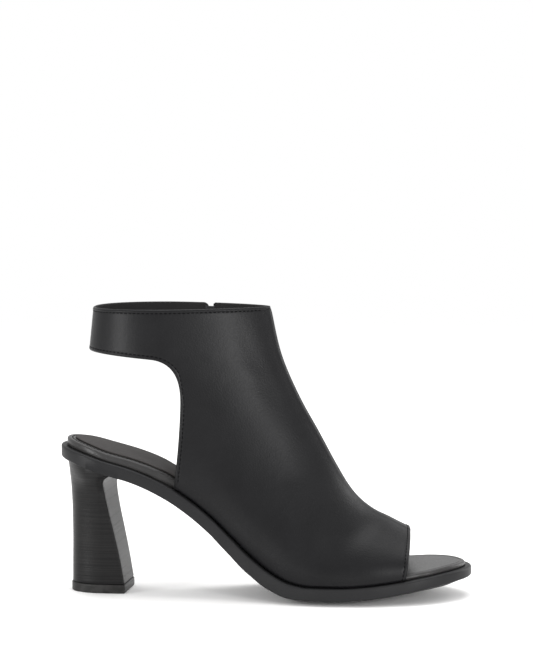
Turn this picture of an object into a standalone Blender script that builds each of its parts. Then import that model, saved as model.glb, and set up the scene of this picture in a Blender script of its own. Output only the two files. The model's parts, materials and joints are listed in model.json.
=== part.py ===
"""A woman's right open-toe sandal: a high leather vamp with an ankle strap, on a flared stacked heel.

Frame: +X to the toe, +Y to the inner (medial) side, +Z up. The origin is on the floor, at the centre
of the heel's tread. Every length is in metres.
"""

import math
from collections import namedtuple

import bpy
import bmesh
from mathutils import Matrix, Vector

# Driving dimensions of the last and the sole
SHOE_LENGTH = 0.2352
HEEL_OVERHANG = 0.0222
BALL_HALF_WIDTH = 0.0405
SEAT_RISE = 0.0752
TOE_SPRING = 0.0080
EDGE_THICKNESS = 0.0071
TREAD_CROWN = 0.0028
EDGE_ROUND = 0.0009
HEEL_END_LENGTH = 0.0270
TOE_END_LENGTH = 0.0360
TOE_TIP_SHIFT = 0.0012
GAP = 0.0003

# Driving dimensions of the upper
COLLAR_HEIGHT = 0.1640
COLLAR_HALF_WIDTH = 0.0310
WALL = 0.0015
RIM_LEDGE = 0.0019
CHEEK = 0.0022
CHEEK_HEIGHT = 0.0130
TOE_EDGE = 0.1788
TOE_EDGE_LEVEL = 0.0394
TOE_EDGE_LEAN = 0.165
FOREPART_SWING = 0.066
STRAP_WIDTH = 0.0232
STRAP_DROP = 0.0047
QUARTER_EDGE = 0.0499
QUARTER_RUN_BACK = 0.0080
CORNER_SIZE = 0.0170
ANKLE_FULL_HEIGHT = 0.0800

# Driving dimensions of the footbed
INSOLE_THICKNESS = 0.0046
INSOLE_LEDGE = 0.0034
INSOLE_ROUND = 0.0014
INSOLE_CLEARANCE = 0.0013
SOCK_THICKNESS = 0.0007
SOCK_INSET = 0.0048
SOCK_END = 0.0780
QUARTER_FADE = 0.0080
TOE_FADE = 0.0080

# Driving dimensions of the heel
LIFT_THICKNESS = 0.0050
LIFT_STEP = 0.0005
HEEL_TREAD_LENGTH = 0.0330
HEEL_TREAD_HALF_WIDTH = 0.0145
HEEL_SWING = math.radians(4.0)
HEEL_CORNER = 0.0012
LIFT_EDGE = 0.0004

# Driving dimensions of the side zip
ZIP_PLACE = 0.0612
ZIP_FOOT = 0.0790
ZIP_SLOT = 0.0042
ZIP_CORNER = 0.0050
TAPE_HALF_WIDTH = 0.0065
TAPE_THICKNESS = 0.0009
TAPE_CLEARANCE = 0.0006
COIL_CLEARANCE = 0.0005
COIL_HEIGHT = 0.0011
SLIDER_DROP = 0.0125
SLIDER_WIDTH = 0.0072
SLIDER_LENGTH = 0.0096
SLIDER_THICKNESS = 0.0013
BRIDGE_WIDTH = 0.0018
BRIDGE_CLEAR = 0.0022
BRIDGE_THICKNESS = 0.0010
PULL_LENGTH = 0.0200
PULL_WIDTH = 0.0052
PULL_THICKNESS = 0.0011
PULL_WINDOW = 0.0066
PULL_PIN = 0.0011
PULL_SIDE_GAP = 0.0004

SOLE_TOP_AT_BALL = EDGE_THICKNESS + TREAD_CROWN

# Side of the sole: share of the length from the heel, of the seat's rise, of the toe spring and of the
# edge's thickness
SoleRow = namedtuple("SoleRow", "along arch spring thick")
SOLE_LINE = [
    SoleRow(0.000, 1.004, 0.00, 1.00),
    SoleRow(0.070, 0.950, 0.00, 1.00),
    SoleRow(0.118, 0.903, 0.00, 1.00),
    SoleRow(0.175, 0.853, 0.00, 1.00),
    SoleRow(0.223, 0.797, 0.00, 1.00),
    SoleRow(0.280, 0.708, 0.00, 1.00),
    SoleRow(0.328, 0.610, 0.00, 1.00),
    SoleRow(0.377, 0.488, 0.00, 1.00),
    SoleRow(0.425, 0.346, 0.00, 1.03),
    SoleRow(0.474, 0.202, 0.00, 1.08),
    SoleRow(0.522, 0.092, 0.00, 1.14),
    SoleRow(0.571, 0.022, 0.00, 1.12),
    SoleRow(0.614, 0.000, 0.00, 1.00),
    SoleRow(0.689, 0.000, 0.00, 1.00),
    SoleRow(0.743, 0.000, 0.09, 1.00),
    SoleRow(0.816, 0.000, 0.32, 0.96),
    SoleRow(0.888, 0.000, 0.62, 0.88),
    SoleRow(0.955, 0.000, 0.87, 0.84),
    SoleRow(1.000, 0.000, 0.96, 0.82),
]

# Outline of the sole: share of the length, and of the ball's half width on the outer and inner side
OutlineRow = namedtuple("OutlineRow", "along outer inner")
OUTLINE = [
    OutlineRow(0.00, 0.640, 0.640),
    OutlineRow(0.12, 0.680, 0.670),
    OutlineRow(0.24, 0.690, 0.590),
    OutlineRow(0.36, 0.710, 0.500),
    OutlineRow(0.48, 0.830, 0.600),
    OutlineRow(0.58, 0.970, 0.830),
    OutlineRow(0.66, 1.030, 0.950),
    OutlineRow(0.74, 1.010, 0.990),
    OutlineRow(0.84, 0.880, 0.920),
    OutlineRow(0.92, 0.760, 0.770),
    OutlineRow(1.00, 0.650, 0.580),
]

# Thickness of the footbed: share of the length from the heel, and of the footbed's thickness
InsoleRow = namedtuple("InsoleRow", "along thick")
INSOLE_LAYER = [
    InsoleRow(0.00, 1.00),
    InsoleRow(0.14, 0.94),
    InsoleRow(0.28, 1.18),
    InsoleRow(0.40, 1.10),
    InsoleRow(0.58, 0.66),
    InsoleRow(0.94, 0.58),
    InsoleRow(1.00, 0.40),
]

# Rings of the upper, collar to toe: where each ring's plane meets the back or underside and the vamp's
# ridge (along from the origin as a share of the length, level as a share of the collar height), the place
# of its widest point, the fullness of its front and back, and the ridge's shift as a share of the ball
RingRow = namedtuple("RingRow", "backAlong backLevel ridgeAlong ridgeLevel widest front back shift")
RINGS = [
    RingRow(-0.0127, 1.000, 0.4175, 1.004, 0.39, 1.45, 2.30, 0.00),
    RingRow(-0.0238, 0.848, 0.4440, 0.838, 0.39, 1.50, 2.30, 0.00),
    RingRow(-0.0357, 0.690, 0.4870, 0.693, 0.40, 1.58, 2.30, 0.00),
    RingRow(-0.0337, 0.537, 0.5355, 0.567, 0.41, 1.66, 2.40, 0.00),
    RingRow(0.0337, 0.402, 0.5775, 0.455, 0.42, 1.74, 2.60, 0.01),
    RingRow(0.1615, 0.293, 0.6095, 0.378, 0.40, 1.80, 3.00, 0.02),
    RingRow(0.3051, 0.158, 0.6370, 0.331, 0.36, 1.84, 3.40, 0.03),
    RingRow(0.4408, 0.037, 0.6700, 0.2945, 0.30, 1.88, 4.00, 0.04),
    RingRow(0.5647, 0.012, 0.7045, 0.2695, 0.32, 1.92, 4.00, 0.05),
    RingRow(0.6697, 0.012, 0.7370, 0.2445, 0.36, 1.96, 4.00, 0.06),
    RingRow(0.7470, 0.024, 0.7690, 0.2215, 0.40, 2.00, 4.00, 0.07),
    RingRow(0.8143, 0.043, 0.8065, 0.1900, 0.44, 2.00, 4.00, 0.07),
]
RING_COUNT = 44
RING_POINTS = 48

# Heel block: height as a share of the block, back and breast as shares of the tread's half length,
# and half width as a share of the tread's half width
HeelRow = namedtuple("HeelRow", "level back breast half")
HEEL_BLOCK = [
    HeelRow(0.00, 0.985, 0.985, 1.000),
    HeelRow(0.18, 0.975, 0.825, 1.020),
    HeelRow(0.36, 0.965, 0.635, 1.080),
    HeelRow(0.52, 0.970, 0.455, 1.165),
    HeelRow(0.66, 0.990, 0.320, 1.290),
    HeelRow(0.76, 1.020, 0.250, 1.430),
    HeelRow(0.83, 1.050, 0.300, 1.560),
    HeelRow(0.88, 1.080, 0.480, 1.660),
    HeelRow(0.92, 1.105, 0.800, 1.740),
    HeelRow(1.00, 1.150, 1.300, 1.840),
]

# Shape numbers: power of the rounded ends, flat share of the tread, where the tread's crown fades in, where
# the toe starts to lean inwards, and the squareness, widest place and draw-in of the heel's section
END_POWER = 2.1
TREAD_FLAT = 0.45
CROWN_START = 0.46
CROWN_FULL = 0.60
TIP_START = 0.86
HEEL_SQUARENESS = 2.3
HEEL_WIDEST = 0.20
HEEL_DRAW_IN = 0.94

STATION_COUNT = 46
TIP_MARGIN = 0.00025
FLOOR_MARGIN = 0.020
SIDE_MARGIN = 0.060

Finish = namedtuple("Finish", "color roughness metallic")
FINISHES = {
    "black_leather": Finish((0.022, 0.022, 0.024), 0.42, 0.0),
    "sole_edge": Finish((0.030, 0.030, 0.031), 0.50, 0.0),
    "stacked_heel": Finish((0.026, 0.026, 0.027), 0.38, 0.0),
    "lift_rubber": Finish((0.030, 0.030, 0.030), 0.62, 0.0),
    "insole_leather": Finish((0.050, 0.046, 0.045), 0.40, 0.0),
    "sock_leather": Finish((0.090, 0.082, 0.078), 0.36, 0.2),
    "zip_tape_cloth": Finish((0.015, 0.015, 0.016), 0.85, 0.0),
    "dark_metal": Finish((0.30, 0.30, 0.31), 0.30, 1.0),
}


# Curves and outlines


def smooth(rows, key, column, place):
    """Value of a column at a place, on a monotone cubic through the rows."""
    keys = [getattr(row, key) for row in rows]
    values = [getattr(row, column) for row in rows]
    if place <= keys[0]:
        return values[0]
    if place >= keys[-1]:
        return values[-1]
    spans = [b - a for a, b in zip(keys, keys[1:])]
    slopes = [(b - a) / span for a, b, span in zip(values, values[1:], spans)]
    tangents = [slopes[0]]
    for before, after in zip(slopes, slopes[1:]):
        mixed = 2 * before * after / (before + after) if before * after > 0 else 0.0
        tangents.append(mixed)
    tangents.append(slopes[-1])
    i = max(n for n, value in enumerate(keys[:-1]) if value <= place)
    t = (place - keys[i]) / spans[i]
    rise = values[i + 1] - values[i]
    first = tangents[i] * spans[i]
    last = tangents[i + 1] * spans[i]
    return values[i] + t * (first + t * (3 * rise - 2 * first - last + t * (first + last - 2 * rise)))


def share_along(x):
    """Share of the shoe's length, from the back of the heel seat."""
    return (x + HEEL_OVERHANG) / SHOE_LENGTH


def sole_top(x):
    """Height of the sole's upper face, where the upper and the insole are seated."""
    along = share_along(x)
    arch = smooth(SOLE_LINE, "along", "arch", along)
    spring = smooth(SOLE_LINE, "along", "spring", along)
    return SOLE_TOP_AT_BALL + SEAT_RISE * arch + TOE_SPRING * spring


def sole_slope(x):
    step = SHOE_LENGTH / 400
    return (sole_top(x + step) - sole_top(x - step)) / (2 * step)


def crown_share(x):
    """1 along the forepart, where the tread's edges are rounded up off the floor, and 0 at the arch."""
    return ease(CROWN_START, CROWN_FULL, share_along(x))


def sole_bottom(x, side_share):
    """Height of the sole's lower face at a share of the half width, 0 in the middle."""
    lifted = max(0.0, (abs(side_share) - TREAD_FLAT) / (1 - TREAD_FLAT)) ** 2
    edge = EDGE_THICKNESS * smooth(SOLE_LINE, "along", "thick", share_along(x))
    thickness = edge * math.hypot(1, sole_slope(x))
    return sole_top(x) - thickness - TREAD_CROWN * crown_share(x) * (1 - lifted)


def ease(start, full, place):
    """0 up to a start, 1 from where it is full, and smooth between."""
    t = min(1.0, max(0.0, (place - start) / (full - start)))
    return t * t * (3 - 2 * t)


def end_round(x, inset):
    """Closes the outline at both ends in rounded curves."""
    from_heel = max(0.0, x + HEEL_OVERHANG - inset)
    from_toe = max(0.0, SHOE_LENGTH - HEEL_OVERHANG - inset - x)
    closing = 1.0
    for reach, length in ((from_heel, HEEL_END_LENGTH), (from_toe, TOE_END_LENGTH)):
        if reach < length:
            closing *= (1 - (1 - reach / length) ** END_POWER) ** (1 / END_POWER)
    return closing


def half_width(x, side, inset=0.0, end_inset=0.0):
    """Half width of the sole's outline at x, on side -1 (outer) or +1 (inner), set in from its edge."""
    column = "inner" if side > 0 else "outer"
    width = BALL_HALF_WIDTH * smooth(OUTLINE, "along", column, share_along(x))
    return (width - inset) * end_round(x, end_inset)


def tip_shift(x):
    """The middle of the toe lies a little to the inner side."""
    t = max(0.0, (share_along(x) - TIP_START) / (1 - TIP_START))
    return TOE_TIP_SHIFT * t * t


def stations(start, end, count):
    """Places along the shoe, closer together towards both ends."""
    middle = (start + end) / 2
    reach = (end - start) / 2
    return [middle - reach * math.cos(math.pi * n / (count - 1)) for n in range(count)]


# Meshes and objects


def remove_everything():
    for thing in list(bpy.data.objects):
        bpy.data.objects.remove(thing, do_unlink=True)


def new_collection(name):
    made = bpy.data.collections.new(name)
    bpy.context.scene.collection.children.link(made)
    return made


def material(name):
    found = bpy.data.materials.get(name)
    if found:
        return found
    made = bpy.data.materials.new(name)
    made.use_nodes = True
    shader = made.node_tree.nodes["Principled BSDF"]
    finish = FINISHES[name]
    shader.inputs["Base Color"].default_value = (*finish.color, 1.0)
    shader.inputs["Roughness"].default_value = finish.roughness
    shader.inputs["Metallic"].default_value = finish.metallic
    made.diffuse_color = (*finish.color, 1.0)
    return made


def mesh_object(name, points, faces, collection, finish=None, smooth_angle=40):
    mesh = bpy.data.meshes.new(name)
    mesh.from_pydata([tuple(p) for p in points], [], faces)
    mesh.validate()
    work = bmesh.new()
    work.from_mesh(mesh)
    bmesh.ops.recalc_face_normals(work, faces=work.faces)
    work.to_mesh(mesh)
    work.free()
    made = bpy.data.objects.new(name, mesh)
    collection.objects.link(made)
    if finish:
        mesh.materials.append(material(finish))
        mesh.shade_smooth()
        mesh.set_sharp_from_angle(angle=math.radians(smooth_angle))
    return made


def loft(rings, capped=True):
    """Points and faces of closed rings joined one to the next."""
    size = len(rings[0])
    points = [point for ring in rings for point in ring]
    faces = []
    for r in range(len(rings) - 1):
        for n in range(size):
            m = (n + 1) % size
            faces.append((r * size + n, r * size + m, (r + 1) * size + m, (r + 1) * size + n))
    if capped:
        faces.append(tuple(range(size)))
        faces.append(tuple(range(len(points) - size, len(points))))
    return points, faces


def prism(name, profile, low, high, collection):
    """A side profile, as points (x, z), drawn out across the shoe from y = low to y = high."""
    rings = [[(x, y, z) for x, z in profile] for y in (low, high)]
    points, faces = loft(rings)
    made = mesh_object(name, points, faces, collection)
    made.hide_render = True
    made.display_type = "WIRE"
    return made


def cut(target, cutter, operation="DIFFERENCE"):
    modifier = target.modifiers.new(cutter.name, "BOOLEAN")
    modifier.operation = operation
    modifier.object = cutter
    modifier.solver = "EXACT"


# Sole and footbed


def slab_ring(x, edges, low, high, rounding, steps):
    """Section of a flat layer across the shoe: its lower and upper face with rounded corners.
    The edges are the half widths on the outer and inner side."""
    outer, inner = edges
    middle = tip_shift(x)
    corner = min(rounding, 0.4 * min(outer, inner))
    ring = []
    for n in range(steps + 1):
        share = -1 + 2 * n / steps
        reach = (inner if share > 0 else outer) - corner
        ring.append((x, middle + share * reach, low(x, share)))
    inner_side, outer_side = [
        [(x, middle + side * width, low(x, side) + corner), (x, middle + side * width, high(x) - corner)]
        for width, side in ((inner, 1), (outer, -1))
    ]
    ring += inner_side
    for n in range(steps + 1):
        share = 1 - 2 * n / steps
        reach = (inner if share > 0 else outer) - corner
        ring.append((x, middle + share * reach, high(x)))
    ring += reversed(outer_side)
    return ring


def slab(name, places, edges, low, high, rounding, steps, collection, finish):
    rings = [slab_ring(x, edges(x), low, high, rounding, steps) for x in places]
    points, faces = loft(rings)
    return mesh_object(name, points, faces, collection, finish)


def make_outsole(collection):
    def edges(x):
        return half_width(x, -1), half_width(x, 1)

    start = -HEEL_OVERHANG + TIP_MARGIN
    end = SHOE_LENGTH - HEEL_OVERHANG - TIP_MARGIN
    places = stations(start, end, STATION_COUNT)
    return slab("outsole", places, edges, sole_bottom, sole_top, EDGE_ROUND, 8, collection, "sole_edge")


def insole_inset(x):
    """The footbed lies inside the wall of the upper, and nearer the sole's edge where it is bare."""
    inside = RIM_LEDGE + WALL + INSOLE_CLEARANCE
    quarter_foot = QUARTER_EDGE - QUARTER_RUN_BACK
    heel_bare = 1 - ease(quarter_foot - QUARTER_FADE, quarter_foot, x)
    toe_foot = TOE_EDGE + TOE_FADE / 2
    toe_bare = ease(toe_foot, toe_foot + TOE_FADE, x)
    return inside + (INSOLE_LEDGE - inside) * max(heel_bare, toe_bare)


def insole_edges(x, more=0.0):
    inset = insole_inset(x) + more
    return [half_width(x, side, inset, INSOLE_LEDGE + more) for side in (-1, 1)]


def insole_low(x, share=0.0):
    return sole_top(x) + GAP


def insole_top(x, share=0.0):
    return insole_low(x) + INSOLE_THICKNESS * smooth(INSOLE_LAYER, "along", "thick", share_along(x))


def make_insole(collection):
    start = -HEEL_OVERHANG + INSOLE_LEDGE + TIP_MARGIN
    end = SHOE_LENGTH - HEEL_OVERHANG - INSOLE_LEDGE - TIP_MARGIN
    places = stations(start, end, STATION_COUNT)
    return slab(
        "insole", places, insole_edges, insole_low, insole_top, INSOLE_ROUND, 4, collection, "insole_leather"
    )


def make_sock(collection):
    """Thin lining on the footbed, from the heel to where the vamp hides its front edge."""

    def edges(x):
        return insole_edges(x, SOCK_INSET)

    def low(x, share=0.0):
        return insole_top(x) + GAP

    def high(x):
        return low(x) + SOCK_THICKNESS

    start = -HEEL_OVERHANG + INSOLE_LEDGE + SOCK_INSET + TIP_MARGIN
    places = stations(start, SOCK_END, STATION_COUNT // 2)
    return slab("sock_lining", places, edges, low, high, SOCK_THICKNESS / 3, 2, collection, "sock_leather")


# Heel


def heel_ring(back, breast, half, level):
    """Section of the heel: a round back, sides that draw in a little and a flat breast."""
    side_steps = 9
    widest = HEEL_WIDEST * back
    power = 2 / HEEL_SQUARENESS
    ring = []
    for n in range(side_steps + 1):
        angle = math.pi / 2 * n / side_steps
        x = widest - (back + widest) * math.sin(angle) ** power
        ring.append((x, half * math.cos(angle) ** power))
    front_half = HEEL_DRAW_IN * half
    front = [(breast, front_half - HEEL_CORNER), (breast - HEEL_CORNER, front_half)]
    side = front + ring
    mirrored = [(x, -y) for x, y in reversed(side[:-1])]
    turn = Matrix.Rotation(-HEEL_SWING, 3, "Z")
    return [tuple(turn @ Vector((x, y, level))) for x, y in side + mirrored]


def make_heel(collection, cutters):
    half_length = HEEL_TREAD_LENGTH / 2
    low = LIFT_THICKNESS + GAP
    high = sole_top(-HEEL_OVERHANG)
    levels = [n / 20 for n in range(21)]
    rings = []
    for level in levels:
        back, breast, half = [
            smooth(HEEL_BLOCK, "level", column, level) for column in ("back", "breast", "half")
        ]
        rings.append(
            heel_ring(
                back * half_length,
                breast * half_length,
                half * HEEL_TREAD_HALF_WIDTH,
                low + (high - low) * level,
            )
        )
    points, faces = loft(rings)
    heel = mesh_object("heel", points, faces, collection, "stacked_heel")
    reach = 2 * HEEL_TREAD_LENGTH
    places = [-reach + 2 * reach * n / 40 for n in range(41)]
    under = [(x, sole_bottom(x, 0) - GAP) for x in places]
    above = [(reach, high + FLOOR_MARGIN), (-reach, high + FLOOR_MARGIN)]
    cut(heel, prism("seat_cutter", under + above, -SIDE_MARGIN, SIDE_MARGIN, cutters))
    return heel


def make_top_lift(collection):
    half_length = HEEL_TREAD_LENGTH / 2 + LIFT_STEP
    half = HEEL_TREAD_HALF_WIDTH + LIFT_STEP
    edge = LIFT_EDGE
    rings = [
        heel_ring(half_length - edge, half_length - edge, half - edge, 0.0),
        heel_ring(half_length, half_length, half, edge),
        heel_ring(half_length, half_length, half, LIFT_THICKNESS),
    ]
    points, faces = loft(rings)
    return mesh_object("top_lift", points, faces, collection, "lift_rubber")


# Upper


def ring_value(column, t):
    """A ring column at t, which runs from 0 at the collar to 1 past the toe."""
    step = 1 / (len(RINGS) - 1)
    i = min(len(RINGS) - 2, int(t / step))
    s = t / step - i
    values = [getattr(row, column) for row in RINGS]
    before = values[i - 1] if i else 2 * values[0] - values[1]
    after = values[i + 2] if i + 2 < len(values) else 2 * values[-1] - values[-2]
    first = (values[i + 1] - before) / 2
    last = (after - values[i]) / 2
    rise = values[i + 1] - values[i]
    return values[i] + s * (first + s * (3 * rise - 2 * first - last + s * (first + last - 2 * rise)))


def ring_ends(t):
    """Back or underside point and ridge point of a ring, as (x, z)."""
    back = (ring_value("backAlong", t) * SHOE_LENGTH, ring_value("backLevel", t) * COLLAR_HEIGHT)
    ridge = (ring_value("ridgeAlong", t) * SHOE_LENGTH, ring_value("ridgeLevel", t) * COLLAR_HEIGHT)
    return back, ridge


def body_half_width(x, z, side):
    """Half width of the foot's body over a place on the side of the shoe."""
    feather = half_width(x, side) - RIM_LEDGE
    height = z - sole_top(x)
    cheek = CHEEK * math.sin(math.pi / 2 * min(1.0, max(0.0, height / CHEEK_HEIGHT)))
    t = min(1.0, max(0.0, height / ANKLE_FULL_HEIGHT))
    ankle = t * t * (3 - 2 * t)
    return (feather + cheek) * (1 - ankle) + COLLAR_HALF_WIDTH * ankle


def ridge_shift(t, along, widest):
    """How far a ring leans to the inner side, from its widest place up to the ridge."""
    rise = max(0.0, (along - widest) / (1 - widest))
    return ring_value("shift", t) * BALL_HALF_WIDTH * rise


def ring_point(t, angle):
    """Point of the upper's outer face. The angle is 0 at the widest place of the inner side,
    a quarter turn at the ridge and minus a quarter turn at the back."""
    back, ridge = ring_ends(t)
    widest = ring_value("widest", t)
    sine = math.sin(angle)
    cosine = math.cos(angle)
    fullness = ring_value("front", t) if sine > 0 else ring_value("back", t)
    reach = (1 - widest) if sine > 0 else widest
    along = widest + math.copysign(reach * abs(sine) ** (2 / fullness), sine)
    across = abs(cosine) ** (2 / fullness)
    x = back[0] + (ridge[0] - back[0]) * along
    z = back[1] + (ridge[1] - back[1]) * along
    side = 1 if cosine > 0 else -1
    shift = ridge_shift(t, along, widest)
    return Vector((x, shift + side * across * body_half_width(x, z, side), z))


def make_upper(collection, cutters):
    rings = []
    for r in range(RING_COUNT):
        t = r / (RING_COUNT - 1)
        angles = [2 * math.pi * n / RING_POINTS + math.pi / 2 for n in range(RING_POINTS)]
        rings.append([ring_point(t, angle) for angle in angles])
    points, faces = loft(rings, capped=False)
    upper = mesh_object("upper", points, faces, collection, "black_leather")
    shell = upper.modifiers.new("wall", "SOLIDIFY")
    shell.thickness = WALL
    shell.offset = -1
    shell.use_even_offset = True
    cut(upper, prism("sole_cutter", sole_profile(), -SIDE_MARGIN, SIDE_MARGIN, cutters))
    cut(upper, prism("heel_cutter", cutout_profile(), -SIDE_MARGIN, SIDE_MARGIN, cutters))
    cut(upper, toe_cutter(cutters))
    cut(upper, prism("zip_cutter", zip_profile(), 0.4 * COLLAR_HALF_WIDTH, SIDE_MARGIN, cutters))
    return upper


def sole_profile():
    """Everything below the face on which the upper is seated."""
    low = -HEEL_OVERHANG - FLOOR_MARGIN
    high = SHOE_LENGTH
    places = [low + (high - low) * n / 70 for n in range(71)]
    line = [(x, sole_top(x) + GAP) for x in places]
    return line + [(high, -FLOOR_MARGIN), (low, -FLOOR_MARGIN)]


def cutout_profile():
    """The open heel: below the strap and behind the quarter's edge, with a rounded corner."""
    back = RINGS[0].backAlong * SHOE_LENGTH - FLOOR_MARGIN
    strap = COLLAR_HEIGHT - STRAP_WIDTH
    corner_start = (QUARTER_EDGE - CORNER_SIZE, strap - STRAP_DROP)
    corner = (QUARTER_EDGE, strap - 1.3 * STRAP_DROP)
    corner_end = (QUARTER_EDGE, strap - STRAP_DROP - 1.35 * CORNER_SIZE)
    profile = [(back, strap)]
    for n in range(9):
        t = n / 8
        profile.append(
            tuple(
                (1 - t) ** 2 * a + 2 * t * (1 - t) * b + t * t * c
                for a, b, c in zip(corner_start, corner, corner_end)
            )
        )
    foot = sole_top(QUARTER_EDGE) - FLOOR_MARGIN
    drop = corner_end[1] - foot
    for n in range(1, 7):
        t = n / 6
        profile.append((QUARTER_EDGE - QUARTER_RUN_BACK * t**1.6, corner_end[1] - drop * t))
    profile.append((back, foot))
    return profile


def toe_edge(y, z):
    """Place of the toe opening's edge, which leans back downwards and follows the swing of the forepart."""
    return TOE_EDGE - TOE_EDGE_LEAN * (TOE_EDGE_LEVEL - z) - FOREPART_SWING * y


def toe_cutter(cutters):
    low = -FLOOR_MARGIN
    high = 0.5 * COLLAR_HEIGHT
    end = SHOE_LENGTH + SIDE_MARGIN
    rings = [
        [(toe_edge(y, low), y, low), (toe_edge(y, high), y, high), (end, y, high), (end, y, low)]
        for y in (-SIDE_MARGIN, SIDE_MARGIN)
    ]
    points, faces = loft(rings)
    made = mesh_object("toe_cutter", points, faces, cutters)
    made.hide_render = True
    made.display_type = "WIRE"
    return made


# Side zip


def zip_profile():
    """The zip's slot in the inner side, open at the collar, where its rear corner is rounded off."""
    half = ZIP_SLOT / 2
    top = COLLAR_HEIGHT + FLOOR_MARGIN
    profile = [(ZIP_PLACE + half, top), (ZIP_PLACE - half - ZIP_CORNER, top)]
    for n in range(7):
        angle = math.pi / 2 * (1 - n / 6)
        x = ZIP_PLACE - half - ZIP_CORNER * (1 - math.cos(angle))
        profile.append((x, COLLAR_HEIGHT - ZIP_CORNER * (1 - math.sin(angle))))
    for n in range(7):
        angle = math.pi + math.pi * n / 6
        profile.append((ZIP_PLACE + half * math.cos(angle), ZIP_FOOT + half * math.sin(angle)))
    return profile


def skin(x, z):
    """Point of the upper's outer face on the inner side, over a place (x, z) of the side view."""
    low = 0.0
    high = 1.0
    for _ in range(40):
        t = (low + high) / 2
        back, ridge = ring_ends(t)
        above = (ridge[0] - back[0]) * (z - back[1]) - (ridge[1] - back[1]) * (x - back[0])
        if above > 0:
            high = t
        else:
            low = t
    back, ridge = ring_ends(t)
    chord = Vector((ridge[0] - back[0], ridge[1] - back[1]))
    along = (Vector((x, z)) - Vector(back)).dot(chord) / chord.length_squared
    widest = ring_value("widest", t)
    reach = (1 - widest) if along > widest else widest
    fullness = ring_value("front", t) if along > widest else ring_value("back", t)
    offset = min(1.0, abs(along - widest) / reach)
    across = (1 - offset**fullness) ** (1 / fullness)
    shift = ridge_shift(t, along, widest)
    return Vector((x, shift + across * body_half_width(x, z, 1), z))


def skin_frame(x, z):
    """Axes on the inner side's face: forward, out of the face, and down it."""
    step = 0.001
    forward = (skin(x + step, z) - skin(x - step, z)).normalized()
    down = (skin(x, z - step) - skin(x, z + step)).normalized()
    out = down.cross(forward).normalized()
    if out.y < 0:
        out = -out
    return forward, out, down


def make_zip_tape(collection):
    """The tape behind the slot, with the closed coil standing up in it."""
    coil = ZIP_SLOT / 2 - COIL_CLEARANCE
    face = WALL + TAPE_CLEARANCE
    section = [
        (-TAPE_HALF_WIDTH, face),
        (-coil, face),
        (-coil, face - COIL_HEIGHT),
        (coil, face - COIL_HEIGHT),
        (coil, face),
        (TAPE_HALF_WIDTH, face),
        (TAPE_HALF_WIDTH, face + TAPE_THICKNESS),
        (0.0, face + TAPE_THICKNESS),
        (-TAPE_HALF_WIDTH, face + TAPE_THICKNESS),
    ]
    foot = ZIP_FOOT
    top = COLLAR_HEIGHT - ZIP_CORNER
    count = 24
    rings = []
    for n in range(count + 1):
        z = foot + (top - foot) * n / count
        ring = []
        for across, depth in section:
            x = ZIP_PLACE + across
            out = skin_frame(x, z)[1]
            ring.append(skin(x, z) - depth * out)
        rings.append(ring)
    points, faces = loft(rings)
    return mesh_object("zip_tape", points, faces, collection, "zip_tape_cloth")


def box_part(work, size, centre):
    made = bmesh.ops.create_cube(work, size=1.0)["verts"]
    bmesh.ops.scale(work, vec=size, verts=made)
    bmesh.ops.translate(work, vec=centre, verts=made)


def placed(name, build, matrix, collection, finish):
    """An object built about its own origin and put in place by its matrix."""
    work = bmesh.new()
    build(work)
    mesh = bpy.data.meshes.new(name)
    work.to_mesh(mesh)
    work.free()
    made = bpy.data.objects.new(name, mesh)
    collection.objects.link(made)
    made.matrix_world = matrix
    mesh.materials.append(material(finish))
    return made


def slider_matrix():
    """Place and axes of the slider: its X forward, its Y out of the face, its Z up."""
    z = COLLAR_HEIGHT - SLIDER_DROP
    forward, out, down = skin_frame(ZIP_PLACE, z)
    side = out.cross(-down).normalized()
    turn = Matrix((side, out, -down)).transposed().to_4x4()
    return Matrix.Translation(skin(ZIP_PLACE, z)) @ turn


def join_parts(target, name, size, centre, cutters):
    """Adds a box to an object with a Boolean union."""

    def build(work):
        box_part(work, size, centre)

    helper = placed(name, build, target.matrix_world, cutters, "dark_metal")
    helper.hide_render = True
    helper.display_type = "WIRE"
    cut(target, helper, "UNION")
    return helper


def bridge_face():
    """Height above the wall's face at which the slider's plate ends and its bridge begins."""
    return GAP + SLIDER_THICKNESS


def make_zip_slider(collection, cutters):
    overlap = 0.0002
    face = bridge_face()

    def plate(work):
        box_part(work, (SLIDER_WIDTH, SLIDER_THICKNESS, SLIDER_LENGTH), (0, GAP + SLIDER_THICKNESS / 2, 0))

    slider = placed("zip_slider", plate, slider_matrix(), collection, "dark_metal")
    bpy.context.view_layer.update()
    neck_low = -(WALL + TAPE_CLEARANCE - COIL_HEIGHT) + GAP
    neck_high = GAP + overlap
    neck = (ZIP_SLOT - 4 * COIL_CLEARANCE, neck_high - neck_low, 0.6 * SLIDER_LENGTH)
    join_parts(slider, "slider_neck", neck, (0, (neck_low + neck_high) / 2, 0), cutters)
    bar_height = face + BRIDGE_CLEAR + BRIDGE_THICKNESS / 2
    bar = (BRIDGE_WIDTH, BRIDGE_THICKNESS, 0.76 * SLIDER_LENGTH)
    join_parts(slider, "slider_bar", bar, (0, bar_height, 0), cutters)
    leg_height = BRIDGE_CLEAR + 2 * overlap
    for name, end in (("slider_leg_low", -1), ("slider_leg_high", 1)):
        leg = (BRIDGE_WIDTH, leg_height, BRIDGE_THICKNESS)
        centre = (0, face + BRIDGE_CLEAR / 2, end * (0.38 * SLIDER_LENGTH - BRIDGE_THICKNESS / 2))
        join_parts(slider, name, leg, centre, cutters)
    return slider


def pull_matrix():
    """The pull's hinge axis: its crossbar lies under the slider's bridge, near the lower leg."""
    drop = 0.38 * SLIDER_LENGTH - BRIDGE_THICKNESS - PULL_PIN / 2 - GAP
    height = bridge_face() + BRIDGE_CLEAR / 2
    return slider_matrix() @ Matrix.Translation((0, height, -drop))


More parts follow.
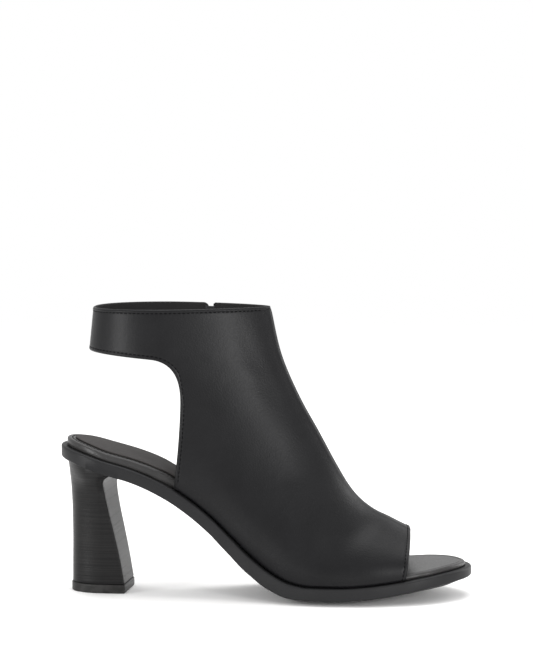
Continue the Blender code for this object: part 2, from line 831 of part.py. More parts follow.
def make_zip_pull(collection, cutters):
    """The pull tab: a round-ended plate with a window whose top bar passes under the bridge."""
    half = PULL_WIDTH / 2
    window = BRIDGE_WIDTH / 2 + PULL_SIDE_GAP
    top = PULL_PIN / 2
    outline = [(-half, top), (half, top), (half, half - PULL_LENGTH)]
    for n in range(1, 8):
        angle = -math.pi * n / 8
        outline.append((half * math.cos(angle), half - PULL_LENGTH + half * math.sin(angle)))
    outline.append((-half, half - PULL_LENGTH))

    def plate(work):
        layers = [
            [work.verts.new((x, y, z)) for x, z in outline]
            for y in (-PULL_THICKNESS / 2, PULL_THICKNESS / 2)
        ]
        work.faces.new(layers[0])
        work.faces.new(reversed(layers[1]))
        for n in range(len(outline)):
            m = (n + 1) % len(outline)
            work.faces.new((layers[0][n], layers[0][m], layers[1][m], layers[1][n]))
        bmesh.ops.recalc_face_normals(work, faces=work.faces)

    def hole(work):
        size = (2 * window, 4 * PULL_THICKNESS, PULL_WINDOW)
        box_part(work, size, (0, 0, -PULL_PIN / 2 - PULL_WINDOW / 2))

    pull = placed("zip_pull", plate, pull_matrix(), collection, "dark_metal")
    helper = placed("pull_window", hole, pull_matrix(), cutters, "dark_metal")
    helper.hide_render = True
    helper.display_type = "WIRE"
    cut(pull, helper)
    return pull


def build_sandal():
    remove_everything()
    parts = new_collection("sandal")
    cutters = new_collection("cutters")
    make_outsole(parts)
    make_insole(parts)
    make_sock(parts)
    make_heel(parts, cutters)
    make_top_lift(parts)
    make_upper(parts, cutters)
    make_zip_tape(parts)
    make_zip_slider(parts, cutters)
    make_zip_pull(parts, cutters)


build_sandal()
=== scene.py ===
import json
import math

import bmesh
import bpy
import numpy as np
from mathutils import Matrix, Vector

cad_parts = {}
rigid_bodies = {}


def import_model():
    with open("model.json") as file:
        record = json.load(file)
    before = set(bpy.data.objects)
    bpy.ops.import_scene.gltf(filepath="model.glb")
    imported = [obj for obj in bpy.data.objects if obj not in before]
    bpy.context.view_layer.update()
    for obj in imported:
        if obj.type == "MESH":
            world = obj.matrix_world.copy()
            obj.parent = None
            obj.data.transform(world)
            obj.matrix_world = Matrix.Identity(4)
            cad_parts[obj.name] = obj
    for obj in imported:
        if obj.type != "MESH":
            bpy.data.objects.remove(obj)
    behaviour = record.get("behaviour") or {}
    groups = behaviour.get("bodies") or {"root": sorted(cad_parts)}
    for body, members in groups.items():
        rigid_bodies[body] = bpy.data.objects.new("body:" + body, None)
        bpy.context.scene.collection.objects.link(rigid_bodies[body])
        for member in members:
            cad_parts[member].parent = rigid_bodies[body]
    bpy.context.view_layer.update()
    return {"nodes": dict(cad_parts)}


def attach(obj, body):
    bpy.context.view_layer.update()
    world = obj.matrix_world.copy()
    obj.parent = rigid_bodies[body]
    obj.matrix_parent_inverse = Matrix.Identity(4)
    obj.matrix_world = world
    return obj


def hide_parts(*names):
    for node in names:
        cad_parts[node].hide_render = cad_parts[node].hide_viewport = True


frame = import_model()
nodes = frame["nodes"]
mm = 0.001
outerSide, innerSide = -1, 1


# The last: the same numbers as the solids, in metres

last = {
    "length": 0.2352,
    "overhang": 0.0222,
    "ball": 0.0405,
    "seatRise": 0.0752,
    "toeSpring": 0.0080,
    "edge": 0.0071,
    "crown": 0.0028,
    "heelEnd": 0.0270,
    "toeEnd": 0.0360,
    "tipShift": 0.0012,
    "gap": 0.0003,
    "collar": 0.1640,
    "collarHalf": 0.0310,
    "ledge": 0.0019,
    "cheek": 0.0022,
    "cheekHeight": 0.0130,
    "ankleFull": 0.0800,
}
soleTopAtBall = last["edge"] + last["crown"]

# Side of the sole: place along it, arch, toe spring, thickness of its edge
soleRows = [
    (0.000, 1.004, 0.00, 1.00),
    (0.070, 0.950, 0.00, 1.00),
    (0.118, 0.903, 0.00, 1.00),
    (0.175, 0.853, 0.00, 1.00),
    (0.223, 0.797, 0.00, 1.00),
    (0.280, 0.708, 0.00, 1.00),
    (0.328, 0.610, 0.00, 1.00),
    (0.377, 0.488, 0.00, 1.00),
    (0.425, 0.346, 0.00, 1.03),
    (0.474, 0.202, 0.00, 1.08),
    (0.522, 0.092, 0.00, 1.14),
    (0.571, 0.022, 0.00, 1.12),
    (0.614, 0.000, 0.00, 1.00),
    (0.689, 0.000, 0.00, 1.00),
    (0.743, 0.000, 0.09, 1.00),
    (0.816, 0.000, 0.32, 0.96),
    (0.888, 0.000, 0.62, 0.88),
    (0.955, 0.000, 0.87, 0.84),
    (1.000, 0.000, 0.96, 0.82),
]

# Outline of the sole: place along it, outer and inner half width
outlineRows = [
    (0.00, 0.640, 0.640),
    (0.12, 0.680, 0.670),
    (0.24, 0.690, 0.590),
    (0.36, 0.710, 0.500),
    (0.48, 0.830, 0.600),
    (0.58, 0.970, 0.830),
    (0.66, 1.030, 0.950),
    (0.74, 1.010, 0.990),
    (0.84, 0.880, 0.920),
    (0.92, 0.760, 0.770),
    (1.00, 0.650, 0.580),
]

# Rings of the upper: back or underside point, ridge point, widest place, fullness in front and behind, shift
ringRows = [
    (-0.0127, 1.000, 0.4175, 1.004, 0.39, 1.45, 2.30, 0.00),
    (-0.0238, 0.848, 0.4440, 0.838, 0.39, 1.50, 2.30, 0.00),
    (-0.0357, 0.690, 0.4870, 0.693, 0.40, 1.58, 2.30, 0.00),
    (-0.0337, 0.537, 0.5355, 0.567, 0.41, 1.66, 2.40, 0.00),
    (0.0337, 0.402, 0.5775, 0.455, 0.42, 1.74, 2.60, 0.01),
    (0.1615, 0.293, 0.6095, 0.378, 0.40, 1.80, 3.00, 0.02),
    (0.3051, 0.158, 0.6370, 0.331, 0.36, 1.84, 3.40, 0.03),
    (0.4408, 0.037, 0.6700, 0.2945, 0.30, 1.88, 4.00, 0.04),
    (0.5647, 0.012, 0.7045, 0.2695, 0.32, 1.92, 4.00, 0.05),
    (0.6697, 0.012, 0.7370, 0.2445, 0.36, 1.96, 4.00, 0.06),
    (0.7470, 0.024, 0.7690, 0.2215, 0.40, 2.00, 4.00, 0.07),
    (0.8143, 0.043, 0.8065, 0.1900, 0.44, 2.00, 4.00, 0.07),
]


def curveThrough(keys, values):
    keys = np.array(keys, float)
    values = np.array(values, float)
    spans = np.diff(keys)
    slopes = np.diff(values) / spans
    product = slopes[:-1] * slopes[1:]
    total = np.where(product > 0, slopes[:-1] + slopes[1:], 1.0)
    inner = np.where(product > 0, 2 * product / total, 0.0)
    tangents = np.concatenate([slopes[:1], inner, slopes[-1:]])

    def at(place):
        place = np.clip(np.asarray(place, float), keys[0], keys[-1])
        i = np.clip(np.searchsorted(keys, place, side="right") - 1, 0, len(spans) - 1)
        t = (place - keys[i]) / spans[i]
        rise = values[i + 1] - values[i]
        first = tangents[i] * spans[i]
        final = tangents[i + 1] * spans[i]
        return values[i] + t * (first + t * (3 * rise - 2 * first - final + t * (first + final - 2 * rise)))

    return at


def ringCurve(values):
    values = np.array(values, float)
    padded = np.concatenate([[2 * values[0] - values[1]], values, [2 * values[-1] - values[-2]]])
    count = len(values) - 1

    def at(t):
        place = np.clip(np.asarray(t, float), 0, 1) * count
        i = np.clip(place.astype(int), 0, count - 1)
        s = place - i
        first = (padded[i + 2] - padded[i]) / 2
        final = (padded[i + 3] - padded[i + 1]) / 2
        rise = padded[i + 2] - padded[i + 1]
        return padded[i + 1] + s * (first + s * (3 * rise - 2 * first - final + s * (first + final - 2 * rise)))

    return at


def ease(start, full, place):
    t = np.clip((np.asarray(place, float) - start) / (full - start), 0, 1)
    return t * t * (3 - 2 * t)


def bell(place, middle, width):
    return np.exp(-(((np.asarray(place, float) - middle) / width) ** 2))


soleAlong, archColumn, springColumn, thickColumn = zip(*soleRows)
archAt = curveThrough(soleAlong, archColumn)
springAt = curveThrough(soleAlong, springColumn)
thickAt = curveThrough(soleAlong, thickColumn)
outlineAlong, outerColumn, innerColumn = zip(*outlineRows)
outerAt = curveThrough(outlineAlong, outerColumn)
innerAt = curveThrough(outlineAlong, innerColumn)
ringNames = ("backAlong", "backLevel", "ridgeAlong", "ridgeLevel", "widest", "front", "back", "shift")
rings = {name: ringCurve(column) for name, column in zip(ringNames, zip(*ringRows))}


def shareAlong(x):
    return (np.asarray(x, float) + last["overhang"]) / last["length"]


def soleTop(x):
    along = shareAlong(x)
    return soleTopAtBall + last["seatRise"] * archAt(along) + last["toeSpring"] * springAt(along)


def soleSlope(x):
    step = last["length"] / 400
    return (soleTop(x + step) - soleTop(x - step)) / (2 * step)


def soleBottom(x, share):
    lifted = np.maximum(0, (np.abs(share) - 0.45) / 0.55) ** 2
    thick = last["edge"] * thickAt(shareAlong(x)) * np.hypot(1, soleSlope(x))
    crown = ease(0.46, 0.60, shareAlong(x)) * (1 - ease(0.93, 0.998, shareAlong(x)))
    return soleTop(x) - thick - last["crown"] * crown * (1 - lifted)


def endRound(x, inset):
    fromHeel = np.maximum(0, x + last["overhang"] - inset)
    fromToe = np.maximum(0, last["length"] - last["overhang"] - inset - x)
    power = 2.1
    closing = 1.0
    for reach, length in ((fromHeel, last["heelEnd"]), (fromToe, last["toeEnd"])):
        share = np.minimum(1, reach / length)
        closing = closing * (1 - (1 - share) ** power) ** (1 / power)
    return closing


def halfWidth(x, side, inset=0.0, endInset=0.0):
    x = np.asarray(x, float)
    along = shareAlong(x)
    width = last["ball"] * np.where(np.asarray(side) > 0, innerAt(along), outerAt(along))
    return (width - inset) * endRound(x, endInset)


def tipShift(x):
    t = np.maximum(0, (shareAlong(x) - 0.86) / 0.14)
    return last["tipShift"] * t * t


# The upper's skin

def ringEnds(t):
    back = rings["backAlong"](t) * last["length"], rings["backLevel"](t) * last["collar"]
    ridge = rings["ridgeAlong"](t) * last["length"], rings["ridgeLevel"](t) * last["collar"]
    return back, ridge


def bodyHalfWidth(x, z, side):
    feather = halfWidth(x, side) - last["ledge"]
    height = z - soleTop(x)
    cheek = last["cheek"] * np.sin(math.pi / 2 * np.clip(height / last["cheekHeight"], 0, 1))
    ankle = ease(0, last["ankleFull"], height)
    return (feather + cheek) * (1 - ankle) + last["collarHalf"] * ankle


def skin(x, z, side):  # how far out the skin lies over a place of the side view
    x = np.asarray(x, float)
    z = np.asarray(z, float)
    low = np.zeros(np.broadcast(x, z).shape)
    high = np.ones_like(low)
    for _ in range(44):
        t = (low + high) / 2
        (backX, backZ), (ridgeX, ridgeZ) = ringEnds(t)
        above = (ridgeX - backX) * (z - backZ) - (ridgeZ - backZ) * (x - backX) > 0
        high = np.where(above, t, high)
        low = np.where(above, low, t)
    (backX, backZ), (ridgeX, ridgeZ) = ringEnds(t)
    chordX = ridgeX - backX
    chordZ = ridgeZ - backZ
    along = ((x - backX) * chordX + (z - backZ) * chordZ) / (chordX**2 + chordZ**2)
    widest = rings["widest"](t)
    front = along > widest
    reach = np.where(front, 1 - widest, widest)
    fullness = np.where(front, rings["front"](t), rings["back"](t))
    offset = np.minimum(1, np.abs(along - widest) / reach)
    across = (1 - offset**fullness) ** (1 / fullness)
    shift = rings["shift"](t) * last["ball"] * np.maximum(0, (along - widest) / (1 - widest))
    return shift + side * across * bodyHalfWidth(x, z, side)


def skinPoint(x, z, side):
    return np.stack([np.broadcast_to(x, np.broadcast(x, z).shape), skin(x, z, side), z + 0 * x], -1)


def skinOut(x, z, side):  # unit vector out of the skin
    step = 0.5 * mm
    forward = skinPoint(x + step, z, side) - skinPoint(x - step, z, side)
    upward = skinPoint(x, z + step, side) - skinPoint(x, z - step, side)
    out = np.cross(forward, upward) * -side
    return out / np.linalg.norm(out, axis=-1, keepdims=True)


# Meshes

def meshPiece(name, points, faces, materials, faceMaterials=None, sharpAngle=None):
    mesh = bpy.data.meshes.new(name)
    mesh.from_pydata([tuple(map(float, p)) for p in points], [], [tuple(map(int, f)) for f in faces])
    mesh.update()
    for material in materials:
        mesh.materials.append(material)
    if faceMaterials is not None:
        mesh.polygons.foreach_set("material_index", list(faceMaterials))
    mesh.shade_smooth()
    if sharpAngle:
        mesh.set_sharp_from_angle(angle=math.radians(sharpAngle))
    made = bpy.data.objects.new(name, mesh)
    bpy.context.scene.collection.objects.link(made)
    return made


def arcLength(points):
    steps = np.linalg.norm(np.diff(points, axis=0), axis=1)
    return np.concatenate([[0], np.cumsum(steps)])


def tube(path, radius, sides=8, ends=True):  # round bead along a path
    path = np.array(path)
    tangents = np.gradient(path, axis=0)
    tangents /= np.linalg.norm(tangents, axis=1, keepdims=True)
    normal = np.cross(tangents[0], (0.3, 0.2, 0.93))
    points = []
    for place, tangent in zip(path, tangents):
        normal = normal - tangent * normal.dot(tangent)
        normal /= np.linalg.norm(normal)
        across = np.cross(tangent, normal)
        for n in range(sides):
            angle = 2 * math.pi * n / sides
            points.append(place + radius * (math.cos(angle) * normal + math.sin(angle) * across))
    faces = []
    for r in range(len(path) - 1):
        for n in range(sides):
            m = (n + 1) % sides
            faces.append((r * sides + n, r * sides + m, (r + 1) * sides + m, (r + 1) * sides + n))
    if ends:
        first = len(points)
        points.append(path[0] - tangents[0] * radius * 0.7)
        points.append(path[-1] + tangents[-1] * radius * 0.7)
        lastRing = (len(path) - 1) * sides
        for n in range(sides):
            m = (n + 1) % sides
            faces.append((first, m, n))
            faces.append((first + 1, lastRing + n, lastRing + m))
    return points, faces


def joined(parts):
    points = []
    faces = []
    for partPoints, partFaces in parts:
        start = len(points)
        points.extend(partPoints)
        faces.extend(tuple(start + n for n in face) for face in partFaces)
    return points, faces


# Materials

class Wire:  # a socket that takes part in sums
    def __init__(self, graph, socket):
        self.graph = graph
        self.socket = socket

    def join(self, operation, *others):
        made = self.graph.tree.nodes.new("ShaderNodeMath")
        made.operation = operation
        for n, value in enumerate(others):
            self.graph.feed(made.inputs[n], value)
        return Wire(self.graph, made.outputs[0])

    def __add__(self, other):
        return self.join("ADD", self, other)

    def __radd__(self, other):
        return self.join("ADD", other, self)

    def __sub__(self, other):
        return self.join("SUBTRACT", self, other)

    def __rsub__(self, other):
        return self.join("SUBTRACT", other, self)

    def __mul__(self, other):
        return self.join("MULTIPLY", self, other)

    def __rmul__(self, other):
        return self.join("MULTIPLY", other, self)

    def __truediv__(self, other):
        return self.join("DIVIDE", self, other)

    def __rtruediv__(self, other):
        return self.join("DIVIDE", other, self)

    def __pow__(self, other):
        return self.join("POWER", self, other)

    def __neg__(self):
        return self.join("MULTIPLY", self, -1.0)

    def sine(self):
        return self.join("SINE", self)

    def absolute(self):
        return self.join("ABSOLUTE", self)

    def highest(self, other):
        return self.join("MAXIMUM", self, other)

    def eased(self, start, full):
        return self.graph.node(
            "ShaderNodeMapRange",
            {"interpolation_type": "SMOOTHSTEP"},
            {"Value": self, "From Min": start, "From Max": full, "To Min": 0.0, "To Max": 1.0},
        )


class Finish:  # one material and its nodes
    def __init__(self, name, color, roughness, **constants):
        self.material = bpy.data.materials.new(name)
        self.material.use_nodes = True
        self.tree = self.material.node_tree
        self.shader = self.tree.nodes["Principled BSDF"]
        self.shader.inputs["Base Color"].default_value = (*color, 1)
        self.shader.inputs["Roughness"].default_value = roughness
        self.shader.inputs["Specular IOR Level"].default_value = 0.13
        self.material.diffuse_color = (*color, 1)
        for socketName, value in constants.items():
            self.shader.inputs[socketName].default_value = value

    def feed(self, socket, value):
        if isinstance(value, Wire):
            self.tree.links.new(value.socket, socket)
        else:
            socket.default_value = value

    def node(self, kind, settings=None, inputs=None, output=0):
        made = self.tree.nodes.new(kind)
        for key, value in (settings or {}).items():
            setattr(made, key, value)
        for key, value in (inputs or {}).items():
            self.feed(made.inputs[key], value)
        return Wire(self, made.outputs[output])

    def place(self):  # where a point of the surface is, in millimetres
        spot = self.node("ShaderNodeTexCoord", output=3)
        return self.node("ShaderNodeVectorMath", {"operation": "SCALE"}, {0: spot, "Scale": 1 / mm})

    def stretched(self, spot, factors):
        return self.node("ShaderNodeVectorMath", {"operation": "MULTIPLY"}, {0: spot, 1: factors})

    def parts(self, spot):
        return [self.node("ShaderNodeSeparateXYZ", None, {0: spot}, n) for n in range(3)]

    def noise(self, spot, scale, detail=2.0, rough=0.5):
        return self.node(
            "ShaderNodeTexNoise", None, {"Vector": spot, "Scale": scale, "Detail": detail, "Roughness": rough}
        )

    def cells(self, spot, scale, randomness=1.0):
        return self.node(
            "ShaderNodeTexVoronoi",
            {"feature": "SMOOTH_F1"},
            {"Vector": spot, "Scale": scale, "Smoothness": 0.35, "Randomness": randomness},
        )

    def blendColors(self, factor, first, second):
        first, second = [color if isinstance(color, Wire) else (*color, 1) for color in (first, second)]
        return self.node("ShaderNodeMix", {"data_type": "RGBA"}, {0: factor, 6: first, 7: second}, 2)

    def set(self, socketName, wire):
        self.feed(self.shader.inputs[socketName], wire)

    def relief(self, height, depth):  # height in millimetres times depth
        bump = self.node("ShaderNodeBump", None, {"Height": height, "Distance": depth * mm, "Strength": 1.0})
        self.set("Normal", bump)


leatherLook = {
    "color": (0.0032, 0.0032, 0.0037),
    "worn": (0.0060, 0.0060, 0.0067),
    "roughness": 0.40,
    "grainSize": 0.95,  # mm
    "grainDepth": 0.062,
    "waveDepth": 0.16,
    "shine": 0.13,
}


def leatherFinish(name, look, dull=0.0):
    finish = Finish(name, look["color"], look["roughness"])
    spot = finish.place()
    grain = finish.cells(spot, 1 / look["grainSize"])
    fine = finish.noise(spot, 2.4 / look["grainSize"], 3.0, 0.6)
    cloud = finish.noise(spot, 0.055, 3.0, 0.5)
    wave = finish.noise(spot, 0.11, 2.0, 0.4)
    patch = finish.noise(spot, 0.6, 3.0, 0.6)
    height = grain * look["grainDepth"] + fine * (0.5 * look["grainDepth"]) + wave * look["waveDepth"]
    finish.relief(height, 1.0)
    tone = finish.blendColors((cloud * 1.6 - 0.3) * (0.6 + 0.4 * patch), look["color"], look["worn"])
    finish.set("Base Color", tone)
    gloss = look["roughness"] + dull + 0.10 * (cloud - 0.5) + 0.10 * (patch - 0.5) + 0.08 * grain
    finish.set("Roughness", gloss)
    finish.shader.inputs["Specular IOR Level"].default_value = look["shine"]
    finish.shader.inputs["Coat Weight"].default_value = 0.05
    finish.shader.inputs["Coat Roughness"].default_value = 0.32
    return finish.material


def liningFinish(name, color):
    finish = Finish(name, color, 0.62)
    spot = finish.place()
    pores = finish.cells(spot, 2.2)
    cloud = finish.noise(spot, 0.14, 3.0)
    finish.relief(pores * 0.02 + cloud * 0.1, 1.0)
    finish.set("Roughness", 0.56 + 0.16 * cloud)
    finish.set("Base Color", finish.blendColors(cloud, color, tuple(1.5 * c for c in color)))
    return finish.material


def edgeFinish(name, color, roughness):  # painted and burnished edge of the sole
    finish = Finish(name, color, roughness)
    spot = finish.place()
    streak = finish.noise(finish.stretched(spot, (0.12, 0.12, 2.6)), 1.0, 3.0, 0.6)
    speck = finish.noise(spot, 3.2, 2.0)
    cloud = finish.noise(spot, 0.08, 3.0)
    finish.relief(streak * 0.05 + speck * 0.02, 1.0)
    finish.set("Roughness", roughness + 0.14 * (streak - 0.5) + 0.10 * (cloud - 0.5))
    finish.set("Base Color", finish.blendColors(cloud, color, tuple(1.45 * c for c in color)))
    return finish.material


def stackFinish(name, look):  # stacked layers, stained black
    finish = Finish(name, look["color"], look["roughness"])
    spot = finish.place()
    x, y, z = finish.parts(spot)
    wobble = finish.noise(finish.stretched(spot, (0.05, 0.05, 0.4)), 1.0, 2.0)
    level = z + 0.5 * wobble
    layer = (level * (math.pi / look["layer"])).sine().absolute()
    joint = 1.0 - layer.eased(0.0, 0.16)
    lines = finish.noise(finish.stretched(spot, (0.02, 0.02, 2.1)), 1.0, 4.0, 0.65)
    pores = finish.noise(finish.stretched(spot, (0.5, 0.5, 4.0)), 1.0, 3.0)
    finish.relief(lines * 0.10 - joint * 0.05 + pores * 0.02, 1.0)
    finish.set("Roughness", look["roughness"] + 0.22 * (lines - 0.5) + 0.10 * joint)
    tone = finish.blendColors(lines.eased(0.35, 0.7), look["color"], look["light"])
    finish.set("Base Color", finish.blendColors(joint * 0.6, tone, (0.006, 0.006, 0.006)))
    return finish.material


def rubberFinish(name, color, roughness):
    finish = Finish(name, color, roughness)
    spot = finish.place()
    speck = finish.noise(spot, 2.2, 4.0, 0.7)
    cloud = finish.noise(spot, 0.25, 3.0)
    finish.relief(speck * 0.05, 1.0)
    finish.set("Roughness", roughness - 0.08 + 0.18 * cloud)
    finish.set("Base Color", finish.blendColors(cloud.eased(0.35, 0.7), color, tuple(1.9 * c for c in color)))
    return finish.material


def clothFinish(name, color):  # woven tape
    finish = Finish(name, color, 0.86)
    spot = finish.place()
    x, y, z = finish.parts(spot)
    rib = ((x + y) * (math.pi / 0.45)).sine()
    pick = (z * (math.pi / 0.5)).sine()
    finish.relief(rib * pick * 0.05 + finish.noise(spot, 4.0) * 0.03, 1.0)
    finish.set("Base Color", finish.blendColors(finish.noise(spot, 1.2), color, tuple(1.8 * c for c in color)))
    finish.shader.inputs["Sheen Weight"].default_value = 0.3
    return finish.material


def metalFinish(name, color, roughness):
    finish = Finish(name, color, roughness, Metallic=1.0)
    spot = finish.place()
    brush = finish.noise(finish.stretched(spot, (3.0, 3.0, 0.4)), 1.0, 2.0)
    wear = finish.noise(spot, 0.6, 3.0)
    finish.relief(brush * 0.01, 1.0)
    finish.set("Roughness", roughness + 0.12 * (wear - 0.5))
    finish.set("Base Color", finish.blendColors(wear, color, tuple(0.7 * c for c in color)))
    return finish.material


def threadFinish(name, color):
    finish = Finish(name, color, 0.9)
    finish.shader.inputs["Specular IOR Level"].default_value = 0.04
    spot = finish.place()
    twist = finish.noise(spot, 6.0, 1.0)
    finish.relief(twist * 0.04, 1.0)
    finish.set("Base Color", finish.blendColors(twist, color, tuple(2.0 * c for c in color)))
    return finish.material


blackLeather = leatherFinish("smoothBlackLeather", leatherLook)
foldedLeather = leatherFinish("foldedEdgeLeather", {**leatherLook, "waveDepth": 0.03})
lining = liningFinish("blackLining", (0.012, 0.0117, 0.0117))
footbedLeather = leatherFinish(
    "footbedLeather",
    {**leatherLook, "color": (0.018, 0.0175, 0.0175), "worn": (0.032, 0.031, 0.031), "roughness": 0.31,
     "waveDepth": 0.05, "shine": 0.20},
)
sockLeather = liningFinish("sockLeather", (0.026, 0.0237, 0.0229))
soleEdge = edgeFinish("paintedSoleEdge", (0.0105, 0.0105, 0.011), 0.44)
stackedHeel = stackFinish(
    "stackedHeel",
    {"color": (0.0045, 0.0045, 0.0047), "light": (0.0110, 0.0106, 0.0106), "roughness": 0.35, "layer": 4.9},
)
liftRubber = rubberFinish("liftRubber", (0.013, 0.0127, 0.0124), 0.38)
tapeCloth = clothFinish("zipTape", (0.012, 0.012, 0.013))
darkMetal = metalFinish("darkMetal", (0.22, 0.22, 0.225), 0.30)
thread = threadFinish("blackThread", (0.0022, 0.0022, 0.0024))
print("materials made")


# The upper

upperShape = {
    "wall": 1.5 * mm,
    "strapWidth": 23.2 * mm,
    "strapDrop": 4.7 * mm,
    "quarterEdge": 49.9 * mm,
    "quarterRunBack": 8.0 * mm,
    "corner": 17.0 * mm,
    "toeEdge": 178.8 * mm,
    "toeLevel": 39.4 * mm,
    "toeLean": 0.165,
    "swing": 0.066,
    "stitchIn": 2.1 * mm,  # from a folded edge
    "troughDepth": 0.12 * mm,
    "troughWidth": 0.42 * mm,
    "foldRise": 0.22 * mm,
    "seamDepth": 0.55 * mm,  # lapped seam down the front
    "seamStep": 0.30 * mm,
}

# Soft folds of the vamp: start and end in the side view (mm), half width (mm), height (mm), side
creases = [
    ((84, 148), (99, 118), 5.0, -0.20, outerSide),
    ((66, 138), (92, 126), 4.0, 0.12, outerSide),
    ((78, 112), (112, 84), 9.0, 0.22, outerSide),
    ((96, 122), (122, 92), 7.0, -0.18, outerSide),
    ((118, 88), (138, 62), 8.0, -0.22, outerSide),
    ((128, 58), (164, 44), 9.0, 0.20, outerSide),
    ((120, 36), (166, 27), 7.0, 0.16, outerSide),
    ((60, 104), (86, 70), 12.0, -0.18, outerSide),
    ((84, 148), (99, 118), 5.0, -0.20, innerSide),
    ((92, 100), (126, 72), 9.0, 0.22, innerSide),
    ((118, 88), (140, 58), 8.0, -0.22, innerSide),
    ((128, 40), (164, 30), 8.0, 0.18, innerSide),
]


def toeX(y, z):
    return upperShape["toeEdge"] - upperShape["toeLean"] * (upperShape["toeLevel"] - z) - upperShape["swing"] * y


def toeBottom(side):  # where the toe opening's edge meets the sole
    x = 0.172
    for _ in range(40):
        z = float(footLine(x))
        x = 0.5 * x + 0.5 * float(toeX(skin(x, z, side), z))
    return x


def footLine(x):  # lower edge of the upper, a hair into the sole so no light passes
    return soleTop(x) - 0.1 * mm


def ridgeAtToe():  # ring whose ridge point lies on the toe opening's edge
    low, high = 0.5, 1.0
    for _ in range(50):
        t = (low + high) / 2
        _, (x, z) = ringEnds(t)
        y = rings["shift"](t) * last["ball"]
        if x > toeX(y, z):
            high = t
        else:
            low = t
    return t


def highPath():  # collar from back to front, then the ridge down to the toe
    (backX, backZ), (frontX, frontZ) = ringEnds(0.0)
    share = (1 - np.cos(math.pi * np.linspace(0, 1, 500))) / 2
    collar = np.stack([backX + (frontX - backX) * share, backZ + (frontZ - backZ) * share], -1)
    _, (ridgeX, ridgeZ) = ringEnds(np.linspace(0, ridgeAtToe(), 600)[1:])
    return np.concatenate([collar, np.stack([ridgeX, ridgeZ], -1)]), len(collar) - 1


def backEdge(z):  # side view of the back line
    (x, level), _ = ringEnds(np.linspace(0, 0.55, 400))
    return np.interp(z, level[::-1], x[::-1])


def ridgeEdge(z):  # side view of the ridge
    _, (x, level) = ringEnds(np.linspace(0, 1, 1600))
    return np.interp(z, level[::-1], x[::-1])


def lowPath(side):  # strap's lower edge, corner, quarter's edge, then the foot line to the toe
    strap = last["collar"] - upperShape["strapWidth"]
    drop = upperShape["strapDrop"]
    edge = upperShape["quarterEdge"]
    size = upperShape["corner"]
    backStart = last["length"] * ringRows[0][0] - 0.020
    start = np.array((edge - size, strap - drop))
    corner = np.array((edge, strap - 1.3 * drop))
    end = np.array((edge, strap - drop - 1.35 * size))
    slope = (start[1] - strap) / (start[0] - backStart)
    z = strap
    for _ in range(30):
        x = float(backEdge(z))
        z = strap + slope * (x - backStart)
    t = np.linspace(0, 1, 160)[:, None]
    under = np.array((x, z)) + (start - (x, z)) * (1 - np.cos(math.pi / 2 * t))
    bend = (1 - t) ** 2 * start + 2 * t * (1 - t) * corner + t * t * end
    foot = float(soleTop(edge)) - 0.020
    fall = end[1] - foot
    t = np.linspace(0, 1, 400)
    down = np.stack([edge - upperShape["quarterRunBack"] * t**1.6, end[1] - fall * t], -1)
    down = down[down[:, 1] > footLine(down[:, 0])]
    x = np.linspace(down[-1, 0], toeBottom(side), 500)
    sole = np.stack([x, footLine(x)], -1)
    path = np.concatenate([under[:-1], bend[:-1], down[:-1], sole])
    keys = {
        "cornerStart": len(under) - 1,
        "cornerEnd": len(under) + len(bend) - 2,
        "foot": len(under) + len(bend) + len(down) - 3,
    }
    return path, keys


endSteps = np.array([0, 0.05, 0.15, 0.3, 0.5, 0.75, 1.0, 1.3, 1.55, 1.8, 2.05, 2.3, 2.6, 3.1, 3.8]) * mm
ridgeSteps = np.array(
    [0, 0.08, 0.2, 0.35, 0.55, 0.75, 1.0, 1.2, 1.4, 1.6, 1.8, 2.0, 2.2, 2.4, 2.65, 3.0, 3.5, 4.2, 5.0]
) * mm
middleRows = 44


def lineEnds(side):  # both ends of each line of the grid, as lengths along the two paths
    high, frontIndex = highPath()
    low, keys = lowPath(side)
    highLength = arcLength(skinPoint(high[:, 0], high[:, 1], outerSide))
    lowLength = arcLength(skinPoint(low[:, 0], low[:, 1], side))
    collarAt = lambda x: float(np.interp(x, high[: frontIndex + 1, 0], highLength[: frontIndex + 1]))
    ridgeAt = lambda x: float(np.interp(x, high[frontIndex:, 0], highLength[frontIndex:]))
    lowAt = lambda z: float(np.interp(-z, -low[keys["cornerEnd"]: keys["foot"], 1],
                                      lowLength[keys["cornerEnd"]: keys["foot"]]))
    tail = 6.0 * mm
    stops = [  # length along the high path, along the low path, lines up to there
        (0.0, 0.0, 0),
        (collarAt(0.032), lowLength[keys["cornerStart"]], 30),
        (collarAt(0.062), lowLength[keys["cornerEnd"]], 26),
        (highLength[frontIndex], lowAt(0.096), 30),
        (ridgeAt(0.1145), lowLength[keys["foot"]], 26),
        (highLength[-1] - tail, lowLength[-1] - tail, 74),
    ]
    highs = [0.0]
    lows = [0.0]
    front = 0
    for n, (before, after) in enumerate(zip(stops, stops[1:])):
        for k in range(1, after[2] + 1):
            highs.append(before[0] + (after[0] - before[0]) * k / after[2])
            lows.append(before[1] + (after[1] - before[1]) * k / after[2])
        if n == 2:
            front = len(highs) - 1
    for step in (4.9 * mm, *endSteps[::-1]):
        highs.append(highLength[-1] - step)
        lows.append(lowLength[-1] - step)
    highs = np.array(highs)
    lows = np.array(lows)
    topEnds = np.stack([np.interp(highs, highLength, high[:, n]) for n in (0, 1)], -1)
    lowEnds = np.stack([np.interp(lows, lowLength, low[:, n]) for n in (0, 1)], -1)
    topEnds[front] = high[frontIndex]
    return lowEnds, topEnds, front, lows < lowLength[keys["foot"]] + 1e-9


